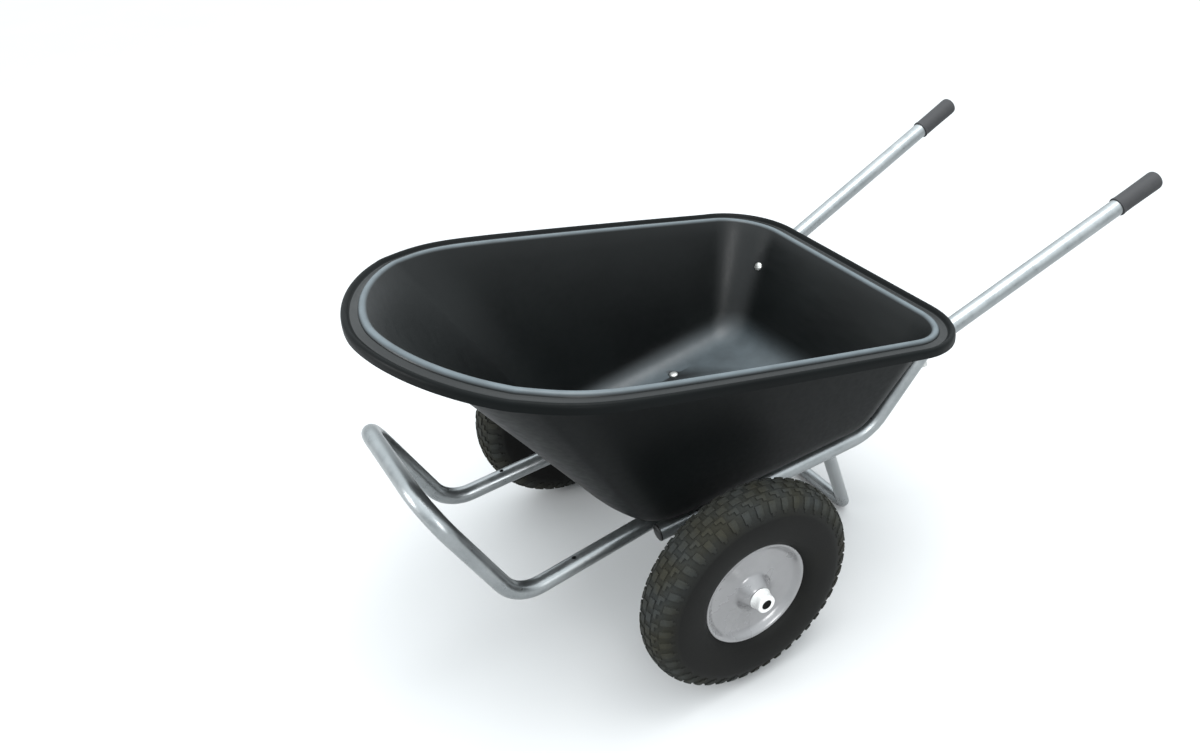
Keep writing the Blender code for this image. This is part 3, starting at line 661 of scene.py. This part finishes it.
def inward_normals(outline):
    """Unit vectors that point into a half outline, square to it."""
    normals = []
    for k, point in enumerate(outline):
        before = outline[k - 1] if k else Vector((-outline[1].x, outline[1].y))
        if k + 1 < len(outline):
            after = outline[k + 1]
        else:
            after = Vector((-outline[-2].x, outline[-2].y))
        along = (after - before).normalized()
        normals.append(Vector((-along.y, along.x)))
    return normals


def deck_height(y, height):
    """World height of a plane that stands above the deck by a square distance."""
    return DECK_Z + DECK_RISE * y + height / math.cos(DECK_PITCH)


def rim_height(y):
    """World height of the rim's crest."""
    return RIM_Z + RIM_FALL * y


def rim_section(start_degrees):
    """The rim's section from the wall to the skirt: (outward, up) from the crest."""
    section = []
    for k in range(CREST_STEPS + 1):
        degrees = start_degrees + (CREST_END - start_degrees) * k / CREST_STEPS
        angle = math.radians(degrees)
        section.append((CREST_R * math.cos(angle), CREST_R * (math.sin(angle) - 1)))
    return section[:-1] + curve_through([section[-1], *in_mm(RIM_LEDGE)], 4)


def wall_column(low, inner, high, high_in):
    """One column of the tray's inner and upper face, and the straight part of its wall."""
    corner = Vector((*low, deck_height(low.y, TRAY_FLOOR_H)))
    flat = Vector((*inner, deck_height(inner.y, TRAY_FLOOR_H)))
    outward = (high - low).dot(-high_in)
    rise = rim_height(high.y) - corner.z
    section = rim_section(90 + math.degrees(math.atan2(rise, outward)))
    top = high - high_in * section[0][0]
    wall_top = Vector((*top, rim_height(high.y) + section[0][1]))
    wall_low = corner + (wall_top - corner).normalized() * TRAY_FILLET
    column = []
    for k in range(FILLET_STEPS + 1):
        share = k / FILLET_STEPS
        column.append(flat.lerp(corner, share).lerp(corner.lerp(wall_low, share), share))
    column += [wall_low.lerp(wall_top, (k + 1) / WALL_STEPS) for k in range(WALL_STEPS)]
    for out, up in section[1:]:
        point = high - high_in * out
        column.append(Vector((*point, rim_height(high.y) + up)))
    return column, wall_low, wall_top


def tray_columns():
    """Every column of the tray's left half, with the straight part of its wall."""
    floor = half_outline(FLOOR_PLAN)
    inset = half_outline(inset_plan(FLOOR_PLAN, TRAY_FILLET))
    rim = half_outline(RIM_PLAN)
    return [wall_column(*ends) for ends in zip(floor, inset, rim, inward_normals(rim))]


def dust_and_highlight_at(row):
    """How much lighter blue-grey a row of the tray gets: dust and painted light on its floor, a
    painted highlight on its rim's crest.
    """
    if row <= FILLET_STEPS:
        return FLOOR_DUST_AND_LIGHT * min(1.0, 2.0 * (1 - row / FILLET_STEPS))
    crest = (row - FILLET_STEPS - WALL_STEPS) / CREST_STEPS
    return CREST_HIGHLIGHT * math.sin(math.pi * crest) ** 0.5 if 0 < crest < 1 else 0.0


def tray_mesh():
    """Half of the tray's inner and upper face, from the floor to the skirt."""
    work = bmesh.new()
    dust_and_painted_light = work.verts.layers.float.new("dust_and_painted_light")
    columns = [[work.verts.new(point) for point in column] for column, _, _ in tray_columns()]
    for column in (columns[0], columns[-1]):
        for vert in column:
            vert.co.x = 0
    # Each row's share of the lighter blue-grey: dust and painted light on the floor, a painted
    # highlight on the crest
    for column in columns:
        for row, vert in enumerate(column):
            vert[dust_and_painted_light] = dust_and_highlight_at(row)
    work.faces.new([column[0] for column in columns])
    for left, right in zip(columns, columns[1:]):
        for k in range(len(left) - 1):
            face = work.faces.new((left[k], right[k], right[k + 1], left[k + 1]))
            face.material_index = int(k >= DULL_ROW)
    bmesh.ops.recalc_face_normals(work, faces=work.faces)
    if work.faces[0].normal.z > 0:
        bmesh.ops.reverse_faces(work, faces=work.faces)
    return mesh_from(work)


def wall_bolt_place():
    """The wall bolt's seat in the left rear corner, its direction and the way to the handle."""
    column = NOSE_STEPS + SIDE_STEPS + round(CORNER_STEPS * WALL_BOLT_SHARE)
    _, low, high = tray_columns()[column]
    place = low.lerp(high, (WALL_BOLT_Z - low.z) / (high.z - low.z))
    start = deck(*RAIL_REAR)
    run = (HANDLE_BEND - start).normalized()
    crossing = start + run * (place - start).dot(run)
    back = (crossing - place).normalized()
    reach = (crossing - place).length - SEAT_SINK
    return place + back * SEAT_SINK, back, reach


def sink_seat(tray, seat, direction):
    """Cut a round flat seat for a bolt head, and the bolt's hole."""
    drill(tray, seat - direction * SEAT_DEPTH / 2, direction, SEAT_R, SEAT_DEPTH)
    drill(tray, seat, direction, BOLT_HOLE_R, 30 * MM)


def make_tray():
    """The moulded tray, with its bolt seats. It is dull outside and on its skirt."""
    tray = finished(tray_mesh(), "tray_shell", "poly_outside", "tray")
    # The wall's thickness makes the inner faces, each with the slot after its outer face's
    tray.data.materials.append(FINISHES["poly"])
    tray.data.materials.append(FINISHES["poly_outside"])
    mirror = tray.modifiers.new("other_half", "MIRROR")
    mirror.use_axis[0] = True
    mirror.merge_threshold = 1e-5
    mirror.use_clip = True
    wall = tray.modifiers.new("wall", "SOLIDIFY")
    wall.thickness = TRAY_WALL
    wall.offset = 1
    wall.use_even_offset = True
    wall.material_offset = 1
    bpy.context.view_layer.update()
    seat, back, _ = wall_bolt_place()
    down = -deck(0, 0, 1) + deck(0, 0)
    for _, side in SIDES:
        sink_seat(tray, mirrored(seat, side), mirrored(back, side))
        sink_seat(tray, deck(FLOOR_BOLT[0] * side, FLOOR_BOLT[1], TRAY_FLOOR_H - SEAT_SINK), down)
    shade(tray.data)
    settle(tray)


# ---- frame tubes

def handle_line(side):
    """Corners of one handle tube, from its front end to its grip."""
    corners = [deck(*RAIL_FRONT), deck(*RAIL_REAR), HANDLE_BEND, HANDLE_END]
    return [mirrored(corner, side) for corner in corners]


def x_along(start, end, y):
    """Distance of a straight tube's centre from the plane of symmetry."""
    return start[0] + (end[0] - start[0]) * ((y - start[1]) / (end[1] - start[1]))


def rail_x(y):
    """The same for a rail."""
    return x_along(RAIL_FRONT, RAIL_REAR, y)


def leg_x(y):
    """The same for a leg of the hoop."""
    return x_along(HOOP_CORNER, HOOP_REAR, y)


def make_handles():
    """Both handle tubes, with the wall bolt's hole through each."""
    seat, back, reach = wall_bolt_place()
    for side_name, side in SIDES:
        line = bent(handle_line(side), (RAIL_BEND_R, HANDLE_BEND_R))
        tube = finished(swept(line, TUBE_R), "handle", "tube", "handle_tube", side=side_name)
        bpy.context.view_layer.update()
        drill(tube, mirrored(seat + back * reach, side), mirrored(back, side), BOLT_HOLE_R,
              50 * MM)
        shade(tube.data)
        settle(tube)


def make_hoop():
    """The front hoop that the barrow tips on, with a drilled hole in each leg."""
    corners = symmetric([deck(*HOOP_REAR), deck(*HOOP_CORNER), HOOP_TOP])
    hoop = finished(swept(bent(corners, HOOP_BEND_R), TUBE_R), "tipping_hoop", "tube",
                    "front_hoop")
    bpy.context.view_layer.update()
    for _, side in SIDES:
        top = deck(leg_x(HOOP_HOLE_Y) * side, HOOP_HOLE_Y, TUBE_R)
        drill(hoop, top, (0, 0, 1), 4 * MM, TUBE_R)
    shade(hoop.data)
    settle(hoop)


def make_stand():
    """The U-shaped rear stand, coped to the rails and welded to them."""
    top = deck(rail_x(STAND_TOP_Y), STAND_TOP_Y)
    line = bent(symmetric([top, STAND_FOOT]), (STAND_FOOT_R, STAND_FOOT_R))
    stand = finished(swept(line, STAND_R), "stand", "tube", "rear_stand")
    bpy.context.view_layer.update()
    for side_name, side in SIDES:
        along = mirrored(deck(*RAIL_REAR) - deck(*RAIL_FRONT), side)
        drill(stand, mirrored(top, side), along, TUBE_R + 0.3 * MM, 160 * MM)
        weld_bead("stand_weld_" + side_name, mirrored(top, side), along.normalized(),
                  (mirrored(STAND_FOOT, side) - mirrored(top, side)).normalized())
    shade(stand.data)
    settle(stand)


def weld_bead(name, centre, rail, leg):
    """A rippled weld where a stand leg meets the underside of a rail."""
    across = leg.orthogonal().normalized()
    other = leg.cross(across)
    square = leg - rail * leg.dot(rail)
    points = []
    for angle in around(WELD_STEPS):
        outward = across * math.cos(angle) + other * math.sin(angle)
        offset = outward * STAND_R
        # Slide down the leg until the point lies on the rail's surface
        beside = offset - rail * offset.dot(rail)
        a, b = square.length_squared, 2 * square.dot(beside)
        c = beside.length_squared - TUBE_R ** 2
        down = (-b + math.sqrt(max(0.0, b * b - 4 * a * c))) / (2 * a)
        points.append((centre + offset + leg * down, outward))
    work = bmesh.new()
    rings = []
    for k, (point, outward) in enumerate(points):
        along = (points[(k + 1) % WELD_STEPS][0] - point).normalized()
        up = along.cross(outward).normalized()
        size = WELD_R + WELD_RIPPLE * math.sin(2 * math.pi * k / 4)
        rings.append([work.verts.new(point + (outward * math.cos(a) + up * math.sin(a)) * size)
                      for a in around(8)])
    for low, high in zip(rings, rings[1:] + rings[:1]):
        join(work, low, high)
    settle(finished(mesh_of(work, 60), name, "galvanised"))


def make_plugs():
    """Ribbed plastic plugs in the open ends of the rails and of the hoop."""
    profile = [(0, -14), (12.5, -14)]
    for rib in (-12.5, -8.5, -4.5):
        profile += [(13.1, rib), (13.1, rib + 1.5), (12.1, rib + 2)]
    profile += [(12.1, 0.3), (15.4, 0.3), (16, 0.9), (16, 2), (14.88, 3.6), (12, 4.9),
                (6.4, 5.8), (0, 6)]
    for side_name, side in SIDES:
        corners = handle_line(side)
        leg = [mirrored(deck(*HOOP_CORNER), side), mirrored(deck(*HOOP_REAR), side)]
        for label, end, before in (("rail", corners[0], corners[1]), ("hoop", leg[1], leg[0])):
            plug = finished(turned(in_mm(profile), 40, closed=False), label + "_end",
                            "black_plastic", label + "_plug", side=side_name)
            install(plug, end, end - before)


def make_grips():
    """Rubber grips: a thin flared collar, a long plain sleeve and a rounded end."""
    profile = [(0, 0.3), (GRIP_BORE, 0.3), (GRIP_BORE, GRIP_OUTSIDE[0][1])]
    profile += curve_through(GRIP_OUTSIDE, 4) + [(0, 5)]
    for side_name, side in SIDES:
        *_, before, end = handle_line(side)
        grip = finished(turned(in_mm(profile), 56, closed=False), "grip_sleeve", "grip",
                        "grip", side=side_name)
        install(grip, end, end - before)


# ---- fasteners

HEAD_R = 9 * MM
HEAD_H = 4.5 * MM
SHANK_R = 4 * MM
NUT_R = 7.6 * MM
NUT_H = 6 * MM
NUT_GAP = 1.2 * MM
NUT_CHAMFER = 0.9 * MM
NUT_STEPS = 36


def thread(length, start=0.0, pitch=1.25 * MM):
    """Profile points of a threaded shank that runs from start to length and ends at its tip."""
    points = []
    count = max(1, round((length - start) / pitch))
    for k in range(count):
        low = start + (length - start) * k / count
        points += [(SHANK_R - 0.6 * MM, low), (SHANK_R, low + pitch / 2)]
    return points + [(SHANK_R - 0.8 * MM, length), (0, length)]


def round_bolt(name, node, side, under_head, direction, length):
    """A mushroom-headed bolt whose shank leaves under_head along direction."""
    profile = [(0, -HEAD_H)]
    for k in range(1, 9):
        angle = math.pi / 2 * k / 8
        profile.append((HEAD_R * math.sin(angle), -HEAD_H * math.cos(angle) ** 0.8))
    profile += [(HEAD_R - 0.3 * MM, 0), (SHANK_R, 0)] + thread(length, length * 0.55)
    mesh = turned(profile, 40, closed=False, sharp_degrees=50)
    install(finished(mesh, name, "fastener", node, side=side), under_head, direction)


def hexagon_mesh(bore, radius, height):
    """A hexagon block with a bore and chamfered ends, standing on its seat."""
    work = bmesh.new()
    rings = []
    twelfth = math.pi / 6
    flat = radius * math.cos(twelfth)
    chamfer = NUT_CHAMFER * 0.6
    for level, trim in ((0, 1), (chamfer, 0), (height - chamfer, 0), (height, 1)):
        ring = []
        for angle in around(NUT_STEPS):
            fold = abs((angle + twelfth) % (2 * twelfth) - twelfth)
            # A vertex right on a corner stays at the flats' distance, as do the end faces
            size = flat if trim or fold < 1e-9 else min(flat / math.cos(twelfth - fold), radius)
            ring.append(work.verts.new((size * math.cos(angle), size * math.sin(angle), level)))
        rings.append(ring)
    for level in (height, 0):
        rings.append([work.verts.new((bore * math.cos(a), bore * math.sin(a), level))
                      for a in around(NUT_STEPS)])
    for low, high in zip(rings, rings[1:] + rings[:1]):
        join(work, low, high)
    return mesh_of(work, 25)


def hexagon_nut(name, node, side, place, direction):
    """A hexagon nut with its seat at a place, standing along direction."""
    mesh = hexagon_mesh(SHANK_R + 0.2 * MM, NUT_R, NUT_H)
    install(finished(mesh, name, "fastener", node, side=side), place, direction)


def make_tray_bolts():
    """The bolts that hold the tray to the rear cross strap and to the handle tubes."""
    seat, back, reach = wall_bolt_place()
    down = deck(0, 0) - deck(0, 0, 1)
    head_height = TRAY_FLOOR_H - SEAT_SINK + HEAD_GAP
    run = head_height - TUBE_R
    start = TRAY_WALL + 1.5 * MM
    profile = sleeve(5.2 * MM, 9 * MM, 0.8 * MM, 0, reach - TUBE_R - NUT_GAP - start)
    for side_name, side in SIDES:
        place = deck(FLOOR_BOLT[0] * side, FLOOR_BOLT[1], head_height)
        round_bolt("tray_floor_bolt", "floor_bolt", side_name, place, down,
                   run + NUT_H + 5 * MM)
        hexagon_nut("tray_floor_nut", "floor_nut", side_name, place + down * run, down)
        way = mirrored(back, side)
        place = mirrored(seat, side)
        round_bolt("tray_wall_bolt", "wall_bolt", side_name, place - way * HEAD_GAP, way,
                   reach + TUBE_R + NUT_H + 6 * MM)
        hexagon_nut("tray_wall_nut", "wall_nut", side_name,
                    place + way * (reach + TUBE_R + NUT_GAP), way)
        spacer = finished(turned(profile, 32), "tray_spacer", "black_plastic", "wall_spacer",
                          side=side_name)
        install(spacer, place + way * start, way)


def make_hanger_bolts():
    """The cross bolts through the axle hangers, the rails and the hoop's legs."""
    head_reach = TUBE_R + 2.6 * MM + 1.6 * MM
    for side_name, side in SIDES:
        outward = Vector((side, 0, 0))
        for row, y in HANGER_BOLTS.items():
            centre = deck(rail_x(y) * side, y)
            inner_reach = head_reach
            if row == "front":
                inner_reach = rail_x(y) - leg_x(y) + TUBE_R + 0.8 * MM
            round_bolt("hanger_cross_bolt_" + row, "hanger_bolt_" + row, side_name,
                       centre + outward * head_reach, -outward,
                       head_reach + inner_reach + NUT_H + 1 * MM)
            hexagon_nut("hanger_cross_nut_" + row, "hanger_nut_" + row, side_name,
                        centre - outward * inner_reach, -outward)


# ---- wheels

PITCHES = 46
CELLS = 8
TREAD_DEPTH = 2.9 * MM
TYRE_OUTSIDE = [(203.0, 0.0), (201.6, 14.0), (195.0, 27.5), (181.0, 38.0), (160.0, 44.0),
                (136.0, 44.5), (114.0, 40.5), (103.0, 33.0), (100.8, 28.4), (97.6, 26.6),
                (94.4, 24.0)]
TYRE_INSIDE = [(94.4, 17.0), (96, 17.5), (106, 23), (130, 36.5), (160, 36.5), (184, 24),
               (193, 8)]
# Where each band across the tread ends, in mm from the crown, the cells of a pitch that stand
# up in it (first, last) and how much of the tread's depth lies between its blocks
TREAD_BANDS = ((1.8, None, 1.0), (7.5, (0, 5), 1.0), (13.4, (0, 5), 1.0), (16.6, None, 1.0),
               (22.8, (4, 9), 1.0), (29.0, (4, 6), 1.0), (31.8, None, 1.0),
               (38.0, (0, 4), 1.0), (45.0, (0, 4), 1.0), (52.0, (0, 4), 0.8),
               (58.0, (1, 3), 0.5), (63.0, None, 0.1))
SIDEWALL_STEPS = 14

# The wheel's other profiles, as (radius, distance from the middle or along the piece) in mm
RIM_FACE = [(100.2, 28.6), (100.6, 30.4), (99.2, 31.4), (97.0, 30.8), (94.6, 28.9), (92.2, 26.0),
            (89.4, 22.6), (86.0, 19.6), (81.0, 17.4), (72.0, 16.0), (60.0, 15.8), (50.0, 16.6),
            (42.0, 18.0), (38.0, 19.0), (35.5, 20.4), (33.0, 23.0), (29.0, 28.5), (24.5, 34.5),
            (20.5, 39.0), (18.0, 40.6)]
RIM_WELL = [(93.6, 24.0), (92.0, 20.0), (91.4, 15.0), (86.0, 10.5), (84.6, 6.0)]
RIM_SHEET = 1.8 * MM
VALVE_STEM = [(0, 0), (4.4, 0), (4.6, 3), (4.5, 17), (3.9, 20), (3.7, 22), (3.7, 29), (4.1, 29.5),
              (4.1, 35.5), (3.4, 36.8), (0, 37)]
VALVE_FOOT = (11.5 * MM, 87 * MM)
VALVE_FALL = 0.62
VALVE_HOLE_R = 5.6 * MM
VALVE_HOLE_REACH = 10 * MM
VALVE_HOLE_LENGTH = 34 * MM
HUB_TUBE = [(12, -44), (16.3, -44), (17, -43.3), (17, 40.9), (19.6, 41.1), (20.4, 42.2),
            (19.8, 43.6), (18.6, 46), (17.7, 50), (17, 55), (17, 57.6), (16.6, 58), (12, 58)]
HUB_CAP = [(9.4, 54.8), (11.7, 54.8), (11.7, 58.3), (17, 58.3), (17, 59.4), (16.5, 60.3),
           (15.6, 61), (10, 61), (9.4, 60.4)]
HUB_STOPPER = [(0, 56.5), (9.2, 56.5), (9.2, 60.5), (8.8, 60.9), (5.2, 60.7), (0, 60.4)]
BUSH = [(8.35, 0.5), (8.85, 0), (11.2, 0), (11.7, 0.5), (11.7, 22), (8.35, 22)]
BUSH_STARTS = {"inner": -43, "outer": 28}
RIM_STEPS = 128
HUB_STEPS = 72


def half_profile():
    """The tyre's outer profile as (radius, x), sampled at the bands and then evenly."""
    fine = curve_through(in_mm(TYRE_OUTSIDE), 40)
    lengths = [0.0]
    for (r0, x0), (r1, x1) in zip(fine, fine[1:]):
        lengths.append(lengths[-1] + math.hypot(r1 - r0, x1 - x0))
    ends = [end * MM for end, _, _ in TREAD_BANDS]
    rest = lengths[-1] - ends[-1]
    wanted = ends + [ends[-1] + rest * (k + 1) / SIDEWALL_STEPS for k in range(SIDEWALL_STEPS)]
    samples = []
    for goal in wanted:
        k = min(range(len(lengths)), key=lambda i: abs(lengths[i] - goal))
        r, x = fine[k]
        before, after = fine[max(0, k - 1)], fine[min(len(fine) - 1, k + 1)]
        along = Vector((after[0] - before[0], after[1] - before[1])).normalized()
        samples.append((r, x, Vector((-along.y, along.x)) * -1))
    return samples


def flipped(row):
    """The mirror image of one row of the tyre's section."""
    return {**row, "x": -row["x"], "out": Vector((row["out"].x, -row["out"].y))}


def tyre_mesh():
    """A tyre about Z: staggered tread blocks on the crown and shoulders, plain sidewalls."""
    steps = PITCHES * CELLS
    rows = []
    for k, (r, x, out) in enumerate(half_profile()):
        sink = 0.0
        if k + 1 < len(TREAD_BANDS):
            sink = max(TREAD_BANDS[k][2], TREAD_BANDS[k + 1][2])
        rows.append({"r": r, "x": x, "out": out, "sink": sink * TREAD_DEPTH})
    inside = [{"r": r, "x": x, "out": Vector((0, 0)), "sink": 0.0}
              for r, x in in_mm(TYRE_INSIDE)]
    inside += [flipped(row) for row in reversed(inside)]
    loop = [flipped(row) for row in reversed(rows)] + rows + inside
    kinds = {}
    for k, (_, cells, _) in enumerate(TREAD_BANDS):
        for j in range(*cells or (0,)):
            kinds.setdefault(len(rows) + k - 1, set()).add(j % CELLS)
            kinds.setdefault(len(rows) - k - 1, set()).add((j + CELLS // 2) % CELLS)
    work = bmesh.new()
    height = work.verts.layers.float.new("tread")
    made = {}

    def vertex(row, step, raised):
        key = (row % len(loop), step % steps, raised)
        if key not in made:
            spot = loop[key[0]]
            angle = 2 * math.pi * key[1] / steps
            drop = 0.0 if raised else spot["sink"]
            r = spot["r"] - spot["out"].x * drop
            x = spot["x"] - spot["out"].y * drop
            vert = work.verts.new((r * math.cos(angle), r * math.sin(angle), x))
            vert[height] = 1.0 if raised or drop == 0.0 else 0.0
            made[key] = vert
        return made[key]

    def stands(row, step):
        return step % CELLS in kinds.get(row % len(loop), ())

    for row in range(len(loop)):
        for step in range(steps):
            up = stands(row, step)
            low, side, far, back = ((row, step), (row + 1, step), (row + 1, step + 1),
                                    (row, step + 1))
            work.faces.new([vertex(*corner, up) for corner in (low, side, far, back)])
            # A block's flanks, where the next cell lies low
            for beside, a, b in (((row, step + 1), back, far), ((row, step - 1), side, low),
                                 ((row + 1, step), side, far), ((row - 1, step), back, low)):
                if up and not stands(*beside):
                    work.faces.new((vertex(*a, True), vertex(*b, True),
                                    vertex(*b, False), vertex(*a, False)))
    bmesh.ops.remove_doubles(work, verts=work.verts, dist=1e-6)
    return mesh_of(work, 30)


def rim_disc():
    """One half of the pressed wheel: the flange and the disc, as a closed profile."""
    face = in_mm(curve_through(RIM_FACE, 4))
    return face + [(r, x - RIM_SHEET) for r, x in reversed(face)]


def rim_well():
    """The well that the tyre's beads sit beside, as a closed profile."""
    half = in_mm(curve_through(RIM_WELL, 4))
    band = half + [(r, -x) for r, x in reversed(half)]
    return band + [(r - RIM_SHEET, x) for r, x in reversed(band)]


def make_wheel(side_name, side):
    """One wheel: tyre, pressed rim, hub with its cap and bushes, and the valve."""
    centre = Vector((WHEEL_X * side, 0, AXLE_Z))
    outward = Vector((side, 0, 0))

    def add(mesh, name, finish, node, direction=outward, place=centre):
        piece = finished(mesh, name, finish, node, body="wheel_" + side_name, side=side_name)
        aim(piece, place, direction)
        return piece

    tyre = add(tyre_mesh(), "tread_tyre", "tyre", "tyre")
    bevel(tyre, 0.7 * MM, 1, 45)
    settle(tyre)
    settle(add(turned(rim_disc(), RIM_STEPS), "wheel_disc_outer", "rim", "disc_outer"))
    inner = add(turned(rim_disc(), RIM_STEPS), "wheel_disc_inner", "rim", "disc_inner", -outward)
    barrel = add(turned(rim_well(), RIM_STEPS), "wheel_well", "rim", "rim_barrel")

    lean = Vector((-side, 0, -VALVE_FALL)).normalized()
    foot = centre + Vector((-VALVE_FOOT[0] * side, 0, VALVE_FOOT[1]))
    for piece in (barrel, inner):
        drill(piece, foot + lean * VALVE_HOLE_REACH, lean, VALVE_HOLE_R, VALVE_HOLE_LENGTH)
        shade(piece.data)
        settle(piece)
    settle(add(turned(in_mm(VALVE_STEM), 28, closed=False), "valve", "black_plastic",
               "valve_stem", lean, foot))

    settle(add(turned(in_mm(HUB_TUBE), HUB_STEPS), "hub_tube", "hub", "hub"))
    settle(add(turned(in_mm(HUB_CAP), HUB_STEPS), "hub_end_cap", "hub", "hub_cap"))
    for place, start in BUSH_STARTS.items():
        bush = in_mm([(r, start + x) for r, x in BUSH])
        settle(add(turned(bush, 48), "bush_sleeve_" + place, "bush", "bush_" + place))
    # A black stopper in the hub's bore; its flat, near-zero black is painted shade of the hole
    settle(add(turned(in_mm(HUB_STOPPER), 40, closed=False), "hub_stopper", "stopper_and_hole_shade",
               "hub_plug"))


# ---- axle and kept nodes

AXLE_R = 8 * MM
AXLE_PAST_WHEEL = 56 * MM
SPACER_FROM_RAIL = 7.1 * MM
SPACER_TO_WHEEL = 45 * MM


def make_axle():
    """The through axle with chamfered ends, and its spacers."""
    half = WHEEL_X + AXLE_PAST_WHEEL
    axle = finished(turned(sleeve(0, AXLE_R, 1 * MM, -half, half), 48, closed=False),
                    "through_axle", "galvanised", "axle")
    install(axle, (0, 0, AXLE_Z), (1, 0, 0))
    profile = sleeve(AXLE_R + 0.3 * MM, AXLE_R + 3 * MM, 0.5 * MM,
                     rail_x(0) + TUBE_R + SPACER_FROM_RAIL, WHEEL_X - SPACER_TO_WHEEL)
    for side_name, side in SIDES:
        spacer = finished(turned(profile, 40), "axle_sleeve", "galvanised", "axle_spacer",
                          side=side_name)
        install(spacer, (0, 0, AXLE_Z), (side, 0, 0))


def keep_node(name, slot, width):
    """A CAD node whose shape is right: it gets its finish and softened edges."""
    node = frame["nodes"][name]
    node.data.materials.clear()
    node.data.materials.append(FINISHES[slot])
    if width:
        bevel(node, width)


def dress_kept_nodes():
    """Give the kept CAD nodes their finish."""
    for row in ("front", "rear"):
        keep_node("cross_strap_" + row, "galvanised", 0.8 * MM)
    for side_name, _ in SIDES:
        keep_node("axle_hanger_" + side_name, "black_steel", 0.6 * MM)
        keep_node("axle_clip_" + side_name, "fastener", 0.0)


# ---- studio

FLOOR_HALF = 40.0
HORIZON_LIGHT = 0.85
ZENITH_LIGHT = 2.8
# How far up the sky starts to brighten, and where it is brightest
CLIMB = (0.02, 0.9)
SKY_TINT = (0.91, 0.97, 1.0, 1.0)
# Each soft box: its place, its target, its size and its power
SOFT_BOXES = {"overhead": ((0.35, 0.3, 2.9), (0, 0, 0.3), 1.6, 50.0),
              "near_side": ((2.7, -0.5, 1.3), (0, 0, 0.3), 1.0, 24.0),
              "front": ((-0.6, -2.8, 1.1), (0, 0.2, 0.35), 0.9, 34.0)}


def make_studio():
    """A pale floor, a world that brightens upwards, and three soft boxes."""
    work = bmesh.new()
    bmesh.ops.create_grid(work, x_segments=1, y_segments=1, size=FLOOR_HALF)
    floor = add_object("floor", mesh_of(work))
    surface = Finish("pale_floor", Roughness=0.95, Specular_IOR_Level=0.1)
    grain = surface.noise(surface.place(), 3.0, 2)
    surface.link("Base Color", surface.blend(grain, (0.46, 0.46, 0.46), (0.48, 0.48, 0.48)))
    floor.data.materials.append(surface.material)
    world = bpy.data.worlds.new("studio")
    world.use_nodes = True
    nodes, links = world.node_tree.nodes, world.node_tree.links
    direction = nodes.new("ShaderNodeTexCoord").outputs["Generated"]
    split = nodes.new("ShaderNodeSeparateXYZ")
    links.new(direction, split.inputs[0])
    climb = nodes.new("ShaderNodeMapRange")
    values = (*CLIMB, HORIZON_LIGHT, ZENITH_LIGHT)
    for socket, value in zip(("From Min", "From Max", "To Min", "To Max"), values):
        climb.inputs[socket].default_value = value
    links.new(split.outputs["Z"], climb.inputs["Value"])
    background = nodes["Background"]
    background.inputs["Color"].default_value = SKY_TINT
    links.new(climb.outputs["Result"], background.inputs["Strength"])
    bpy.context.scene.world = world
    for name, settings in SOFT_BOXES.items():
        soft_light(name, *settings)


def soft_light(name, place, target, size, power):
    """A square soft box that faces a target."""
    light = bpy.data.lights.new(name, "AREA")
    light.shape = "SQUARE"
    light.size = size
    light.energy = power
    box = add_object(name, light)
    box.location = place
    box.rotation_mode = "QUATERNION"
    box.rotation_quaternion = (Vector(target) - Vector(place)).to_track_quat("-Z", "Y")


def make_camera():
    """The photograph's camera."""
    azimuth, elevation = VIEW_AZIMUTH, VIEW_ELEVATION
    ahead = Vector((-math.sin(azimuth) * math.cos(elevation),
                    math.cos(azimuth) * math.cos(elevation), -math.sin(elevation)))
    level = Vector((math.cos(azimuth), math.sin(azimuth), 0))
    upright = level.cross(ahead)
    right = level * math.cos(VIEW_ROLL) + upright * math.sin(VIEW_ROLL)
    up = upright * math.cos(VIEW_ROLL) - level * math.sin(VIEW_ROLL)
    lens = bpy.data.cameras.new("photo_camera")
    lens.sensor_width = SENSOR_WIDTH
    lens.lens = FOCAL_PIXELS * SENSOR_WIDTH / IMAGE_SIZE[0]
    lens.shift_x = (IMAGE_SIZE[0] / 2 - PRINCIPAL[0]) / IMAGE_SIZE[0]
    lens.shift_y = (PRINCIPAL[1] - IMAGE_SIZE[1] / 2) / IMAGE_SIZE[0]
    camera = add_object("photo_camera", lens)
    turn = Matrix((right, up, -ahead)).transposed().to_4x4()
    camera.matrix_world = Matrix.Translation(VIEW_PLACE + AXLE_LINE) @ turn
    bpy.context.scene.camera = camera


make_tray()
make_handles()
make_hoop()
make_stand()
make_plugs()
make_grips()
make_tray_bolts()
make_hanger_bolts()
make_axle()
for wheel_name, wheel_side in SIDES:
    make_wheel(wheel_name, wheel_side)
dress_kept_nodes()
make_studio()
make_camera()
bpy.context.scene.view_settings.view_transform = "Standard"
